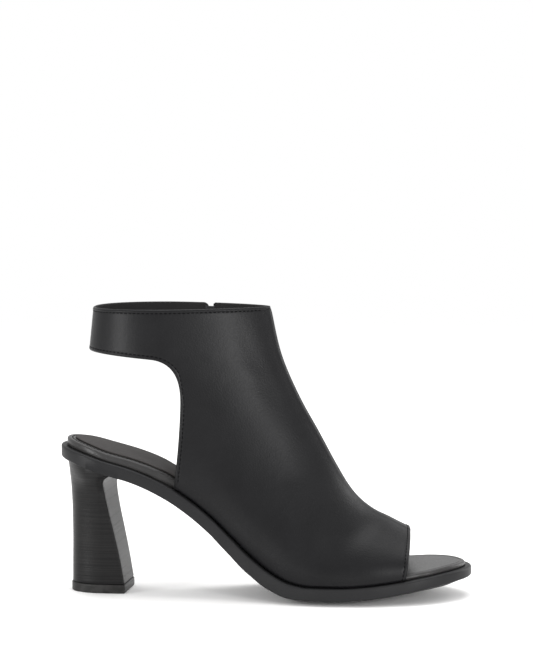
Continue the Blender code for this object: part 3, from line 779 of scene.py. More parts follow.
def bentLines(side):  # fine points of each line, following the back and the toe opening
    lowEnds, topEnds, front, freeEdge = lineEnds(side)
    u = (1 - np.cos(math.pi * np.linspace(0, 1, 501))) / 2
    lx, lz = lowEnds[:, :1], lowEnds[:, 1:]
    hx, hz = topEnds[:, :1], topEnds[:, 1:]
    x = lx + (hx - lx) * u
    z = lz + (hz - lz) * u
    backChord = backEdge(lz) + (backEdge(hz) - backEdge(lz)) * u
    place = np.arange(len(lx))[:, None]
    x = x + (backEdge(z) - backChord) * (1 - ease(0, 34, place))
    level = z[-1]
    far = ridgeEdge(level)
    near = x[-1] - 8 * mm
    for _ in range(40):
        middle = (near + far) / 2
        beyond = middle > toeX(skin(middle, level, side), level)
        far = np.where(beyond, middle, far)
        near = np.where(beyond, near, middle)
    bend = middle - x[-1]
    bend = bend - bend[0] * (1 - u) - bend[-1] * u
    bent = x + bend * ease(len(lx) - 75, len(lx) - 16, place)
    limit = ridgeEdge(z) - 0.15 * np.maximum(0, ridgeEdge(z) - x)
    x = np.where(place > len(lx) - 76, np.minimum(bent, limit), x)
    x[:, -1] = topEnds[:, 0]
    return x, z, u, front, freeEdge


def lineGrid(side):
    x, z, u, front, freeEdge = bentLines(side)
    count = len(x)
    points = skinPoint(x, z, side)
    gridX = np.empty((count, len(endSteps) + len(ridgeSteps) + middleRows))
    gridZ = np.empty_like(gridX)
    fromLow = np.empty_like(gridX)
    fromHigh = np.empty_like(gridX)
    for k in range(count):
        length = arcLength(points[k])
        sines = []
        for end, inward in ((0, 40), (-1, -41)):
            before, after = max(k - 1, 0), min(k + 1, count - 1)
            edge = points[after, end] - points[before, end]
            line = points[k, inward] - points[k, end]
            sine = np.linalg.norm(np.cross(edge, line)) / (np.linalg.norm(edge) * np.linalg.norm(line) + 1e-12)
            sines.append(max(0.4, sine))
        lowSteps = endSteps / sines[0]
        highSteps = ridgeSteps / sines[1]
        room = 0.7 * length[-1] / (lowSteps[-1] + highSteps[-1])
        if room < 1:
            lowSteps = lowSteps * room
            highSteps = highSteps * room
        middle = np.linspace(lowSteps[-1], length[-1] - highSteps[-1], middleRows + 2)[1:-1]
        wanted = np.concatenate([lowSteps, middle, length[-1] - highSteps[::-1]])
        rows = np.interp(wanted, length, u)
        gridX[k] = np.interp(rows, u, x[k])
        gridZ[k] = np.interp(rows, u, z[k])
        fromLow[k] = wanted * sines[0]
        fromHigh[k] = (length[-1] - wanted) * sines[1]
    return gridX, gridZ, fromLow, fromHigh, front, freeEdge


def edgeDepth(distance, radius):  # rounds an edge of the wall
    inside = np.clip(distance, 0, radius)
    return radius - np.sqrt(np.maximum(0, radius**2 - (radius - inside) ** 2))


def creaseHeight(x, z, side):
    total = np.zeros_like(x)
    for start, end, width, height, where in creases:
        if where != side:
            continue
        a = np.array(start) * mm
        b = np.array(end) * mm
        run = b - a
        along = ((x - a[0]) * run[0] + (z - a[1]) * run[1]) / run.dot(run)
        away = ((x - a[0]) * run[1] - (z - a[1]) * run[0]) / np.linalg.norm(run)
        fade = ease(-0.45, 0.15, along) * (1 - ease(0.85, 1.45, along))
        total = total + height * mm * np.exp(-((away / (width * mm)) ** 2)) * fade
    return total


def buildUpper():
    shape = upperShape
    radius = shape["wall"] / 2
    halves = {}
    for side in (outerSide, innerSide):
        x, z, fromLow, fromHigh, front, freeEdge = lineGrid(side)
        halves[side] = (x, skin(x, z, side), z, fromLow, fromHigh, freeEdge)
    lines, rows = halves[outerSide][0].shape
    index = {}
    points = []
    info = []
    for side in (outerSide, innerSide):
        x, y, z, fromLow, fromHigh, freeEdge = halves[side]
        for k in range(lines):
            for r in range(rows):
                shared = side == innerSide and (k == 0 or (r == rows - 1 and k >= front))
                if shared:
                    index[side, k, r] = index[outerSide, k, r]
                    continue
                index[side, k, r] = len(points)
                points.append((x[k, r], y[k, r], z[k, r]))
                edge = (r == 0) or (r == rows - 1 and k <= front) or k == lines - 1
                ridge = fromHigh[k, r] if k >= front else 1.0
                info.append((side, fromLow[k, r], ridge, freeEdge[k], edge, k))
    points = np.array(points)
    side, fromLow, ridge, free, edge, line = [np.array(column, float) for column in zip(*info)]
    quads = []
    for half in (outerSide, innerSide):
        for k in range(lines - 1):
            for r in range(rows - 1):
                quad = [index[half, k, r], index[half, k + 1, r], index[half, k + 1, r + 1], index[half, k, r + 1]]
                quads.append(quad if half == outerSide else quad[::-1])
    quads = np.array(quads)
    corners = points[quads]
    normals = np.cross(corners[:, 2] - corners[:, 0], corners[:, 3] - corners[:, 1])
    out = np.zeros_like(points)
    for n in range(4):
        np.add.at(out, quads[:, n], normals)
    out /= np.linalg.norm(out, axis=1, keepdims=True) + 1e-15
    x, y, z = points.T
    (backX, backZ), (frontX, frontZ) = ringEnds(0.0)
    fromCollar = backZ + (frontZ - backZ) * (x - backX) / (frontX - backX) - z
    fromToe = np.maximum(0, toeX(y, z) - x) * 0.96
    fromCollar = np.where(edge > 0, np.maximum(0, fromCollar), fromCollar)
    depth = np.maximum(edgeDepth(fromCollar, radius), edgeDepth(fromToe, radius))
    depth = np.maximum(depth, edgeDepth(fromLow, radius))
    depth = np.where(edge > 0, radius, depth)
    lowFolded = np.where(free > 0, fromLow, 1.0)
    nearest = np.minimum(np.minimum(fromCollar, fromToe), lowFolded)
    height = creaseHeight(x, z, outerSide) * (side < 0) + creaseHeight(x, z, innerSide) * (side > 0)
    height = height * ease(1.0 * mm, 9.0 * mm, np.minimum(nearest, ridge)) * ease(0, 8 * mm, z - soleTop(x))
    height = height - shape["troughDepth"] * bell(nearest, shape["stitchIn"], shape["troughWidth"])
    height = height + shape["foldRise"] * bell(nearest, 1.15 * mm, 0.5 * mm) * ease(0.3 * mm, 3 * mm, ridge)
    seamPlace = 1.0 * mm + 1.2 * mm * ease(0.10, 0.17, x)
    groove = bell(ridge, seamPlace, 0.22 * mm) * (side < 0)
    raised = ease(0.0, 0.3 * mm, ridge - seamPlace) * (1 - ease(1.8 * mm, 4.5 * mm, ridge - seamPlace))
    height = height + (shape["seamStep"] * raised * (side < 0) - shape["seamDepth"] * groove) * ease(
        0.3 * mm, 1.6 * mm, fromCollar
    )
    tuck = 0.5 * mm * (1 - ease(0, 2.2 * mm, fromLow)) * (free < 1)
    outer = points + out * (height - depth - tuck)[:, None]
    inner = points - out * (shape["wall"] - depth)[:, None]
    middle = rings["shift"](np.zeros(len(x)))
    keep = np.where(side < 0, np.minimum(inner[:, 1], middle - 0.05 * mm + np.maximum(0, y)), inner[:, 1])
    keep = np.where(side > 0, np.maximum(inner[:, 1], middle + 0.05 * mm), keep)
    inner[:, 1] = keep
    isEdge = edge > 0
    innerIndex = np.where(isEdge, np.arange(len(points)), 0)
    innerIndex[~isEdge] = len(points) + np.arange((~isEdge).sum())
    allPoints = np.concatenate([outer, inner[~isEdge]])
    allFaces = np.concatenate([quads, innerIndex[quads][:, ::-1]])
    marks = [0] * len(quads) + [1] * len(quads)
    upper = meshPiece("upperLeather", allPoints, allFaces, [blackLeather, lining], marks)
    grids = {half: np.array([[outer[index[half, k, r]] for r in range(rows)] for k in range(lines)])
             for half in (outerSide, innerSide)}
    outs = {half: np.array([[out[index[half, k, r]] for r in range(rows)] for k in range(lines)])
            for half in (outerSide, innerSide)}
    distances = {half: (halves[half][3], halves[half][0], halves[half][2], halves[half][5])
                 for half in (outerSide, innerSide)}
    return upper, grids, outs, distances, front


upper, upperGrids, upperOuts, upperDistances, frontLine = buildUpper()
print("upper made", len(upper.data.polygons))


# The side zip

zipShape = {
    "place": 61.9 * mm,
    "foot": 79.0 * mm,
    "half": 1.3 * mm,
    "corner": 3.4 * mm,
    "coilHalf": 1.2 * mm,
    "tapeTop": 162.4 * mm,
    "pitch": 1.05 * mm,
    "toothRadius": 0.34 * mm,
}


def slotPath(more):  # middle of the folded edge round the zip, from the front collar to the rear collar
    place, foot, corner = zipShape["place"], zipShape["foot"], zipShape["corner"]
    half = zipShape["half"] + more
    (backX, backZ), (frontX, frontZ) = ringEnds(0.0)
    top = backZ + (frontZ - backZ) * (place - backX) / (frontX - backX)
    path = [(place + half, z) for z in np.linspace(top - more, foot, 90)]
    path += [(place + half * math.cos(a), foot + half * math.sin(a)) for a in np.linspace(0, -math.pi, 26)[1:]]
    path += [(place - half, z) for z in np.linspace(foot, top - corner, 84)[1:]]
    cx, cz, bend = place - zipShape["half"] - corner, top - corner, corner - more
    path += [(cx + bend * math.cos(a), cz + bend * math.sin(a)) for a in np.linspace(0, math.pi / 2, 12)[1:]]
    return np.array(path)


def cutSlot():  # opens the wall along the middle of the folded edge, face by face
    radius = upperShape["wall"] / 2
    place, foot, corner = zipShape["place"], zipShape["foot"], zipShape["corner"]
    half = zipShape["half"] + radius
    (backX, backZ), (frontX, frontZ) = ringEnds(0.0)
    cornerX = place - zipShape["half"] - corner
    cornerZ = backZ + (frontZ - backZ) * (place - backX) / (frontX - backX) - corner
    slotCuts = [(place, foot, math.cos(-a), math.sin(-a), half) for a in np.linspace(0, math.pi, 13)]
    cornerCuts = [
        (cornerX, cornerZ, math.cos(a), math.sin(a), corner - radius) for a in np.linspace(0.1, 1.5, 8)
    ]
    work = bmesh.new()
    work.from_mesh(upper.data)
    near = []
    for face in work.faces:
        x, y, z = face.calc_center_median()
        if y > 10 * mm and abs(x - place) < 14 * mm and z > foot - 8 * mm:
            near.append(face)
    near += list({edge for face in near for edge in face.edges}) + list({v for face in near for v in face.verts})
    bounds = [(cornerX, cornerZ, 1, 0, 0), (cornerX, cornerZ, 0, 1, 0)]
    for x, z, alongX, alongZ, reach in slotCuts + cornerCuts + bounds:
        spot = (x + alongX * reach, 0, z + alongZ * reach)
        near = bmesh.ops.bisect_plane(work, geom=near, dist=1e-7, plane_co=spot, plane_no=(alongX, 0, alongZ))["geom"]
    gone = []
    for face in near:
        if not isinstance(face, bmesh.types.BMFace):
            continue
        x, y, z = face.calc_center_median()
        beyond = [(x - cx) * ax + (z - cz) * az > reach for cx, cz, ax, az, reach in slotCuts + cornerCuts]
        inCorner = cornerX < x < place and z > cornerZ and any(beyond[len(slotCuts):])
        if inCorner or not any(beyond[:len(slotCuts)]):
            gone.append(face)
    bmesh.ops.delete(work, geom=gone, context="FACES")
    work.to_mesh(upper.data)
    work.free()


def buildBead():
    radius = upperShape["wall"] / 2
    path = slotPath(radius)
    x, z = path.T
    middle = skinPoint(x, z, innerSide) - skinOut(x, z, innerSide) * radius
    points, faces = tube(middle, radius, 12)
    return meshPiece("slotEdge", points, faces, [foldedLeather])


def buildCoil():  # closed coil of the zip
    parts = []
    top = last["collar"] - 7 * mm
    count = int((top - zipShape["foot"]) / zipShape["pitch"])
    depth = upperShape["wall"] + 0.6 * mm - 1.1 * mm
    for n in range(count):
        z = zipShape["foot"] + 0.4 * mm + n * zipShape["pitch"]
        for side in (-1, 1):
            level = z + (0.5 * zipShape["pitch"] if side > 0 else 0)
            across = np.linspace(-0.45 * mm, zipShape["coilHalf"], 7) * side
            xs = zipShape["place"] + across
            zs = level + 0.12 * mm * np.sin(np.linspace(0, math.pi, 7))
            out = skinOut(xs, zs, innerSide)
            lift = depth + 0.10 * mm - 0.22 * mm * np.sin(np.linspace(0, math.pi, 7))
            parts.append(tube(skinPoint(xs, zs, innerSide) - out * lift[:, None], zipShape["toothRadius"], 6))
    return meshPiece("zipCoil", *joined(parts), [tapeCoil])


def buildTapeEnd():  # end of the tape, behind the wall above the slider
    x, z = np.meshgrid(zipShape["place"] + np.linspace(-3.0, 3.0, 9) * mm, np.linspace(0.146, zipShape["tapeTop"], 24))
    out = skinOut(x.ravel(), z.ravel(), innerSide)
    points = skinPoint(x.ravel(), z.ravel(), innerSide) - out * (upperShape["wall"] + 0.1 * mm)
    faces = [(n, n + 9, n + 10, n + 1) for n in range(23 * 9) if n % 9 < 8]
    end = meshPiece("zipTapeEnd", points, faces, [tapeCloth])
    thick = end.modifiers.new("thick", "SOLIDIFY")
    thick.thickness = 0.45 * mm
    thick.offset = 0
    return end


tapeCoil = Finish("zipCoil", (0.014, 0.014, 0.015), 0.34).material
cutSlot()
slotEdge = buildBead()
zipCoil = buildCoil()
zipTapeEnd = buildTapeEnd()
nodes["zip_tape"].data.materials.clear()
nodes["zip_tape"].data.materials.append(tapeCloth)
for name in ("zip_slider", "zip_pull"):
    piece = nodes[name]
    piece.data.materials.clear()
    piece.data.materials.append(darkMetal)
    soften = piece.modifiers.new("soften", "BEVEL")
    soften.width = 0.22 * mm
    soften.segments = 3
    soften.limit_method = "ANGLE"
    soften.angle_limit = math.radians(40)
    soften.harden_normals = False
print("zip made")


# Slabs: sole, footbed and sock lining

slabLook = {"stations": 220, "columns": 26}


def outlineLoop(x, widths):
    outer, inner = widths(x)
    middle = tipShift(x)
    outer = middle - outer
    inner = middle + inner
    loop = np.concatenate([np.stack([x, outer], -1), np.stack([x, inner], -1)[-2:0:-1]])
    return loop


def insetLoop(loop, inset):
    tangent = np.roll(loop, -1, axis=0) - np.roll(loop, 1, axis=0)
    tangent /= np.linalg.norm(tangent, axis=1, keepdims=True)
    inward = np.stack([-tangent[:, 1], tangent[:, 0]], -1)
    return loop + inward * np.reshape(inset, (-1, 1))


def slabPiece(name, start, end, widths, low, high, lowRings, highRings, materials, lowShare=None):
    count = slabLook["stations"]
    columns = slabLook["columns"]
    x = (start + end) / 2 - (end - start) / 2 * np.cos(math.pi * np.linspace(0, 1, count))
    loop = outlineLoop(x, widths)
    size = len(loop)
    points = []
    faces = []
    ringsOfLoops = []
    part = lowShare(loop[:, 0]) if lowShare else 1.0
    for inset, rise in lowRings:
        moved = insetLoop(loop, inset * part)
        share = np.where(np.arange(size) < count, -1, 1)
        z = low(moved[:, 0], share) + rise * part
        ringsOfLoops.append(np.column_stack([moved, z]))
    for inset, rise in highRings:
        moved = insetLoop(loop, inset)
        ringsOfLoops.append(np.column_stack([moved, high(moved[:, 0]) + rise]))
    for ring in ringsOfLoops:
        points.extend(ring)
    for r in range(len(ringsOfLoops) - 1):
        for n in range(size):
            m = (n + 1) % size
            faces.append((r * size + n, r * size + m, (r + 1) * size + m, (r + 1) * size + n))

    def span(ringIndex, heightOf, flip):
        base = ringIndex * size
        ring = ringsOfLoops[ringIndex]
        grid = []
        for k in range(count):
            a = k
            b = (size - k) % size
            if k in (0, count - 1):
                grid.append([base + a] * (columns + 1))
                continue
            row = [base + a]
            for c in range(1, columns):
                t = c / columns
                spot = ring[a, :2] * (1 - t) + ring[b, :2] * t
                row.append(len(points))
                points.append((*spot, heightOf(spot[0], 2 * t - 1, ring[a, 2], ring[b, 2], t)))
            row.append(base + b)
            grid.append(row)
        for k in range(count - 1):
            for c in range(columns):
                quad = [grid[k][c], grid[k + 1][c], grid[k + 1][c + 1], grid[k][c + 1]]
                quad = [v for n, v in enumerate(quad) if v != quad[n - 1]]
                if len(quad) > 2:
                    faces.append(tuple(quad[::-1] if flip else quad))

    span(0, lambda px, share, a, b, t: float(low(px, share)) + lowRings[0][1], True)
    span(len(ringsOfLoops) - 1, lambda px, share, a, b, t: a * (1 - t) + b * t, False)
    return meshPiece(name, points, faces, materials)


def roundSteps(radius, count=6):  # insets and falls of a quarter round
    return [
        (radius * (1 - math.sin(a)), radius * (1 - math.cos(a)))
        for a in np.linspace(0, math.pi / 2, count)
    ]


soleLook = {"round": 1.5 * mm, "lowRound": 1.0 * mm}


def lowRoundShare(x):  # the sole's side runs flush into the sides of the heel
    return 1 - ease(-14 * mm, -6 * mm, x) * (1 - ease(14 * mm, 20 * mm, x))


def soleWidths(x):
    return halfWidth(x, outerSide), halfWidth(x, innerSide)


def buildSole():
    lowRings = roundSteps(soleLook["lowRound"])
    highRings = [(inset, -drop) for inset, drop in roundSteps(soleLook["round"])[::-1]]
    ends = (-last["overhang"] + 1e-6, last["length"] - last["overhang"] - 1e-6)
    return slabPiece(
        "soleSlab", *ends, soleWidths, soleBottom, soleTop, lowRings, highRings, [soleEdge], lowRoundShare
    )


insoleLook = {
    "thick": 4.6 * mm,
    "ledge": 3.4 * mm,
    "clearance": 1.3 * mm,
    "round": 1.7 * mm,
    "pipeIn": 3.0 * mm,
    "pipeDepth": 0.35 * mm,
    "crown": 0.5 * mm,
    "sockIn": 4.8 * mm,
    "sockEnd": 78.0 * mm,
    "sockThick": 0.7 * mm,
}
insoleRows = [(0.00, 1.00), (0.14, 0.94), (0.28, 1.18), (0.40, 1.10), (0.58, 0.66), (0.94, 0.58), (1.00, 0.40)]
insoleLayer = curveThrough(*zip(*insoleRows))


def insoleInset(x):
    inside = last["ledge"] + upperShape["wall"] + insoleLook["clearance"]
    quarterFoot = upperShape["quarterEdge"] - upperShape["quarterRunBack"]
    heelBare = 1 - ease(quarterFoot - 0.008, quarterFoot, x)
    toeFoot = upperShape["toeEdge"] + 0.004
    toeBare = ease(toeFoot, toeFoot + 0.008, x)
    return inside + (insoleLook["ledge"] - inside) * np.maximum(heelBare, toeBare)


def insoleWidths(x, more=0.0):
    inset = insoleInset(x) + more
    return [halfWidth(x, side, inset, insoleLook["ledge"] + more) for side in (outerSide, innerSide)]


def insoleLow(x, share=0.0):
    return soleTop(x) + 0.05 * mm


def insoleTop(x):
    return soleTop(x) + last["gap"] + insoleLook["thick"] * insoleLayer(shareAlong(x))


def buildInsole():
    look = insoleLook
    radius = look["round"]
    lowRings = [(0.55 * mm, 0.0), (0.2 * mm, 0.25 * mm), (0.0, 0.7 * mm)]
    highRings = [(inset, -0.9 * drop) for inset, drop in roundSteps(radius, 8)[::-1][1:]]
    for step in np.arange(2.2, 8.1, 0.25) * mm:
        highRings.append((step, -look["pipeDepth"] * bell(step, look["pipeIn"], 0.28 * mm)))
    ends = (-last["overhang"] + look["ledge"] + 1e-6, last["length"] - last["overhang"] - look["ledge"] - 1e-6)
    return slabPiece("footbed", *ends, insoleWidths, insoleLow, insoleTop, lowRings, highRings, [footbedLeather])


def buildSock():
    look = insoleLook

    def widths(x):
        return insoleWidths(x, look["sockIn"])

    def low(x, share=0.0):
        return insoleTop(x) + 0.05 * mm

    def high(x):
        return insoleTop(x) + last["gap"] + look["sockThick"]

    steps = roundSteps(0.35 * mm, 5)
    highRings = [(inset, -drop) for inset, drop in steps[::-1]]
    start = -last["overhang"] + look["ledge"] + look["sockIn"] + 1e-6
    return slabPiece("sockLining", start, look["sockEnd"], widths, low, high, [(0.0, 0.0)], highRings, [sockLeather])


sole = buildSole()
footbed = buildInsole()
sock = buildSock()
print("sole and footbed made")


# Heel

heelLook = {
    "treadLength": 33.0 * mm,
    "treadHalf": 14.5 * mm,
    "swing": math.radians(4),
    "lift": 5.0 * mm,
    "step": 0.25 * mm,
    "corner": 1.0 * mm,
}

# Heel block: level, back, breast and half width
heelRows = [
    (0.00, 0.985, 1.000, 1.000),
    (0.18, 0.975, 0.850, 1.020),
    (0.36, 0.965, 0.665, 1.080),
    (0.52, 0.970, 0.490, 1.165),
    (0.66, 0.990, 0.370, 1.290),
    (0.72, 1.005, 0.350, 1.370),
    (0.76, 1.020, 0.400, 1.430),
    (0.79, 1.035, 0.560, 1.485),
    (0.82, 1.045, 0.860, 1.540),
    (0.88, 1.080, 1.200, 1.660),
    (0.92, 1.105, 1.320, 1.740),
    (1.00, 1.150, 1.450, 1.840),
]
heelLevel, backColumn, breastColumn, halfColumn = zip(*heelRows)
heelBack = curveThrough(heelLevel, backColumn)
heelBreast = curveThrough(heelLevel, breastColumn)
heelHalf = curveThrough(heelLevel, halfColumn)
cornerSteps = 5
sideSteps = 40
flankShares = np.linspace(0, 1, 10)[1:-1]


def heelLoop(back, breast, half, inset=0.0):  # round the block; its sizes may differ from point to point
    corner = heelLook["corner"]
    power = 2 / 2.3
    count = 4 + cornerSteps + len(flankShares) + sideSteps + 1
    order = [*range(count), *range(count - 2, 0, -1)]
    backs, breasts, halves = [np.broadcast_to(size, len(order)) - inset for size in (back, breast, half)]
    loop = np.empty((len(order), 2))
    for n, (i, back, breast, half) in enumerate(zip(order, backs, breasts, halves)):
        widest = 0.20 * back
        drawn = 0.94 * half
        if i < 4:
            x = breast
            y = drawn * 0.3 * i if i < 3 else 0.8 * (drawn - corner)
        elif i < 4 + cornerSteps:
            angle = math.pi / 2 * (i - 4) / (cornerSteps - 1)
            x = breast - corner + corner * math.cos(angle)
            y = drawn - corner + corner * math.sin(angle)
        elif i < 4 + cornerSteps + len(flankShares):
            t = flankShares[i - 4 - cornerSteps]
            x = breast - corner + (widest - breast + corner) * t
            y = drawn + (half - drawn) * t
        else:
            angle = math.pi / 2 * (i - 4 - cornerSteps - len(flankShares)) / sideSteps
            x = widest - (back + widest) * math.sin(angle) ** power
            y = half * max(0.0, math.cos(angle)) ** power
        loop[n] = x, y if n < count else -y
    return loop


def turned(loop):
    c, s = math.cos(-heelLook["swing"]), math.sin(-heelLook["swing"])
    return np.column_stack([loop[:, 0] * c - loop[:, 1] * s, loop[:, 0] * s + loop[:, 1] * c])


def stackedLoops(name, loops, materials):
    size = len(loops[0])
    points = [p for loop in loops for p in loop]
    faces = []
    for r in range(len(loops) - 1):
        for n in range(size):
            m = (n + 1) % size
            faces.append((r * size + n, r * size + m, (r + 1) * size + m, (r + 1) * size + n))
    first = len(points)
    points.append(np.mean(loops[0], axis=0))
    points.append(np.mean(loops[-1], axis=0))
    top = (len(loops) - 1) * size
    for n in range(size):
        m = (n + 1) % size
        faces.append((first, m, n))
        faces.append((first + 1, top + n, top + m))
    return meshPiece(name, points, faces, materials, sharpAngle=50)


def buildHeel():
    look = heelLook
    low = look["lift"] + 0.03 * mm
    base = look["lift"] + last["gap"]
    high = float(soleTop(-last["overhang"]))
    halfLength = look["treadLength"] / 2
    loops = []
    for v in np.linspace(0, 1, 90):
        inset = float(edgeDepth(np.array(v * 0.07), 0.5 * mm)) if v * 0.07 < 0.5 * mm else 0.0
        z = low + v * 0.06
        for _ in range(14):
            share = np.clip((z - base) / (high - base), 0, 1)
            breast, half = heelBreast(share) * halfLength, heelHalf(share) * look["treadHalf"]
            loop = heelLoop(heelBack(share) * halfLength, breast, half, inset)
            edge = np.where(loop[:, 0] > breast - look["corner"], 0.94 * half, np.abs(loop[:, 1]) + 1e-6)
            loop = turned(loop)
            x = loop[:, 0]
            soleHalf = np.where(loop[:, 1] > 0, halfWidth(x, innerSide), halfWidth(x, outerSide))
            flush = ease(0.66, 0.84, share) * ease(-16 * mm, -5 * mm, x)
            loop[:, 1] *= 1 + flush * (np.clip(soleHalf / edge, 1, 1.25) - 1)
            z = low + v * (soleBottom(loop[:, 0], 0) - 0.05 * mm - low)
        loops.append(np.column_stack([loop, z]))
    return stackedLoops("heelBlock", loops, [stackedHeel])


def buildLift():
    look = heelLook
    halfLength = look["treadLength"] / 2 + look["step"]
    half = look["treadHalf"] + look["step"]
    loops = []
    edge = 0.5 * mm
    for inset, z in [(edge * (1 - math.sin(a)), edge * (1 - math.cos(a))) for a in np.linspace(0, 1.57, 5)]:
        loops.append((inset, z))
    for z in np.linspace(edge, look["lift"] - 0.4 * mm, 8)[1:]:
        loops.append((0.0, z))
    loops += [(0.1 * mm, look["lift"] - 0.15 * mm), (0.35 * mm, look["lift"])]
    made = []
    for inset, z in loops:
        loop = turned(heelLoop(halfLength, halfLength, half, inset))
        made.append(np.column_stack([loop, np.full(len(loop), z)]))
    return stackedLoops("heelLift", made, [liftRubber])


heel = buildHeel()
lift = buildLift()
print("heel made")


# Stitches

stitchLook = {"pitch": 2.5 * mm, "length": 1.6 * mm, "radius": 0.25 * mm, "sink": 0.14 * mm}


def stitchRow(path, outs, look=stitchLook):
    path = np.array(path)
    outs = np.array(outs)
    length = arcLength(path)
    count = int(length[-1] / look["pitch"])
    parts = []
    for n in range(count):
        middle = (n + 0.5) * length[-1] / count
        places = middle + np.linspace(-0.5, 0.5, 5) * look["length"]
        spots = np.stack([np.interp(places, length, path[:, i]) for i in range(3)], -1)
        out = np.stack([np.interp(places, length, outs[:, i]) for i in range(3)], -1)
        arch = (np.array([-1, 0.15, 0.45, 0.15, -1]) * look["sink"])[:, None]
        parts.append(tube(spots + out * arch, look["radius"], 6))
    return joined(parts)


def lineSpot(side, k, distances, wanted):  # where a line of the grid reaches a distance
    grid = upperGrids[side][k]
    outs = upperOuts[side][k]
    order = np.argsort(distances)
    spot = [np.interp(wanted, distances[order], grid[order, n]) for n in range(3)]
    out = [np.interp(wanted, distances[order], outs[order, n]) for n in range(3)]
    return spot, out


def collarRow(side):
    (backX, backZ), (frontX, frontZ) = ringEnds(0.0)
    found = []
    for k in range(0, frontLine - 3):
        fromLow, x, z, free = upperDistances[side]
        distance = backZ + (frontZ - backZ) * (x[k] - backX) / (frontX - backX) - z[k]
        found.append(lineSpot(side, k, distance, upperShape["stitchIn"]))
    return found


def lowRow(side):
    found = []
    fromLow, x, z, free = upperDistances[side]
    for k in range(0, len(x)):
        if free[k]:
            found.append(lineSpot(side, k, fromLow[k], upperShape["stitchIn"]))
    return found[:-2]


def toeRow(side):
    fromLow, x, z, free = upperDistances[side]
    grid = upperGrids[side]
    outs = upperOuts[side]
    found = []
    rows = grid.shape[1]
    for r in range(3, rows):
        column = grid[-26:, r]
        distance = (toeX(column[:, 1], column[:, 2]) - column[:, 0]) * 0.96
        order = np.argsort(distance)
        spot = [np.interp(upperShape["stitchIn"], distance[order], column[order, n]) for n in range(3)]
        out = [np.interp(upperShape["stitchIn"], distance[order], outs[-26:, r][order, n]) for n in range(3)]
        found.append((spot, out))
    return found


def slotRow():
    path = slotPath(upperShape["wall"] / 2 + 2.0 * mm)
    path = path[3:-16]
    x, z = path.T
    out = skinOut(x, z, innerSide)
    points = skinPoint(x, z, innerSide)
    return list(zip(points, out))


def buildStitches():
    collar = collarRow(innerSide)
    front = zipShape["place"] + zipShape["half"] + 2.0 * mm
    rear = zipShape["place"] - zipShape["half"] - zipShape["corner"]
    rowsOfStitches = []
    for found in (
        collarRow(outerSide),
        [found for found in collar if found[0][0] < rear],
        [found for found in collar if found[0][0] > front],
        lowRow(outerSide),
        lowRow(innerSide),
        toeRow(outerSide),
        toeRow(innerSide),
        slotRow(),
    ):
        spots, outs = zip(*found)
        rowsOfStitches.append(stitchRow(spots, outs))
    return meshPiece("stitches", *joined(rowsOfStitches), [thread])


def buildFootbedStitches():
    look = insoleLook
    start = -last["overhang"] + look["ledge"] + 1e-6
    end = last["length"] - last["overhang"] - look["ledge"] - 1e-6
    x = (start + end) / 2 - (end - start) / 2 * np.cos(math.pi * np.linspace(0, 1, slabLook["stations"]))
    loop = insetLoop(outlineLoop(x, insoleWidths), look["pipeIn"])
    heelPart = np.roll(loop, len(loop) // 2, axis=0)
    heelPart = heelPart[np.abs(np.arange(len(loop)) - len(loop) // 2) < 118]
    points = np.column_stack([heelPart, insoleTop(heelPart[:, 0]) - 0.12 * mm])
    outs = np.tile((0.0, 0.0, 1.0), (len(points), 1))
    return meshPiece("footbedStitches", *stitchRow(points, outs), [thread])


stitches = buildStitches()
footbedStitches = buildFootbedStitches()
print("stitches made")


# What each piece stands for, and what it rides

for piece, node, slotName in (
    (upper, "upper", "black_leather"),
    (sole, "outsole", "sole_edge"),
    (footbed, "insole", "insole_leather"),
    (sock, "sock_lining", "sock_leather"),
    (heel, "heel", "stacked_heel"),
    (lift, "top_lift", "lift_rubber"),
):
    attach(piece, "root")
    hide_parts(node)
for piece, slotName in (
    (slotEdge, "black_leather"),
    (zipCoil, "zip_tape_cloth"),
    (zipTapeEnd, "zip_tape_cloth"),
    (stitches, "black_leather"),
    (footbedStitches, "insole_leather"),
):
    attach(piece, "root")


# Floor, light and camera

studio = {
    "world": 1.0,
    "floor": (0.92, 0.915, 0.91),
    "floorRadius": 2.2,
    "fadeStart": 0.55,
    "fadeEnd": 1.9,
    "lensMm": 128.8,
    "cameraPlace": (0.2135, -1.3449, 0.2740),
    "cameraTurn": 5.0,
    "cameraTilt": 5.29,
}

# Lights: place, aim, width, height, power
lights = [
    ("frontStrip", (0.91, -0.82, 0.20), (0.09, 0.0, 0.08), 0.15, 0.56, 9.0),
    ("leftSoftbox", (-0.94, -0.76, 0.30), (0.02, 0.0, 0.10), 0.20, 0.9, 8.0),
    ("heelStrip", (-0.50, -0.54, 0.045), (0.0, 0.0, 0.035), 0.09, 0.07, 1.3),
    ("ridgeStrip", (1.02, 0.66, 0.40), (0.12, 0.0, 0.08), 0.50, 1.0, 5.5),
    ("overhead", (0.10, 0.20, 1.50), (0.10, 0.0, 0.05), 1.2, 1.0, 16.0),
]


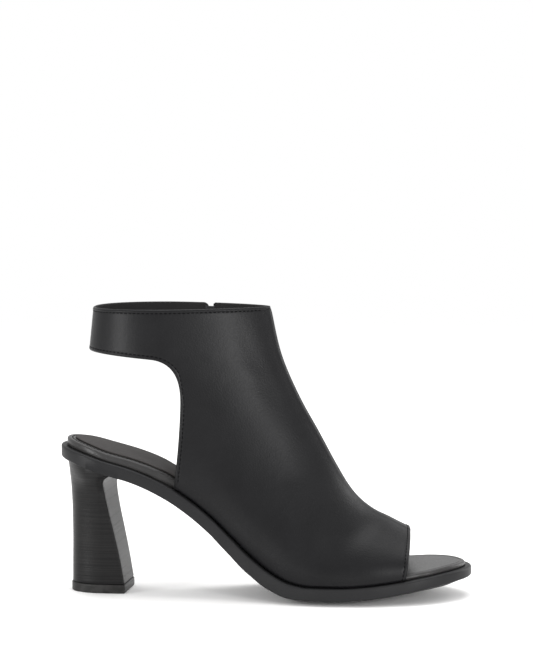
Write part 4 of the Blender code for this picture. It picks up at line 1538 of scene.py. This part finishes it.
def makeFloor():
    sides = 96
    points = [(0.1, 0.0, -0.05 * mm)]
    faces = []
    for r in range(1, 13):
        reach = studio["floorRadius"] * (r / 12) ** 1.5
        for n in range(sides):
            angle = 2 * math.pi * n / sides
            points.append((0.1 + reach * math.cos(angle), reach * math.sin(angle), -0.05 * mm))
    for n in range(sides):
        m = (n + 1) % sides
        faces.append((0, 1 + n, 1 + m))
    for r in range(11):
        for n in range(sides):
            m = (n + 1) % sides
            a, b = 1 + r * sides, 1 + (r + 1) * sides
            faces.append((a + n, b + n, b + m, a + m))
    finish = Finish("paleFloor", studio["floor"], 0.85)
    spot = finish.node("ShaderNodeTexCoord", output=3)
    away = finish.node("ShaderNodeVectorMath", {"operation": "LENGTH"}, {0: spot}, output=1)
    finish.set("Alpha", 1.0 - away.eased(studio["fadeStart"], studio["fadeEnd"]))
    finish.shader.inputs["Specular IOR Level"].default_value = 0.1
    return meshPiece("floor", points, faces, [finish.material])


def makeLights():
    bpy.context.scene.view_settings.view_transform = "Standard"
    world = bpy.context.scene.world or bpy.data.worlds.new("studio")
    bpy.context.scene.world = world
    world.use_nodes = True
    background = world.node_tree.nodes["Background"]
    background.inputs["Color"].default_value = (1, 1, 1, 1)
    background.inputs["Strength"].default_value = studio["world"]
    for name, place, aim, width, height, power in lights:
        lamp = bpy.data.lights.new(name, "AREA")
        lamp.shape = "RECTANGLE"
        lamp.size = width
        lamp.size_y = height
        lamp.energy = power
        piece = bpy.data.objects.new(name, lamp)
        piece.location = place
        piece.rotation_mode = "QUATERNION"
        piece.rotation_quaternion = (Vector(aim) - Vector(place)).to_track_quat("-Z", "Y")
        piece.visible_camera = False
        bpy.context.scene.collection.objects.link(piece)


def makeCamera():
    camera = bpy.data.cameras.new("camera")
    camera.lens = studio["lensMm"]
    camera.sensor_width = 36
    camera.clip_start = 0.05
    camera.clip_end = 20
    piece = bpy.data.objects.new("camera", camera)
    turn, tilt = math.radians(studio["cameraTurn"]), math.radians(studio["cameraTilt"])
    forward = Vector((-math.sin(turn) * math.cos(tilt), math.cos(turn) * math.cos(tilt), -math.sin(tilt)))
    piece.location = studio["cameraPlace"]
    piece.rotation_mode = "QUATERNION"
    piece.rotation_quaternion = forward.to_track_quat("-Z", "Y")
    bpy.context.scene.collection.objects.link(piece)
    bpy.context.scene.camera = piece


for thing in list(bpy.data.objects):
    if thing.type in ("LIGHT", "CAMERA") or thing.name == "Cube":
        bpy.data.objects.remove(thing)
floor = makeFloor()
makeLights()
makeCamera()
print("studio made")
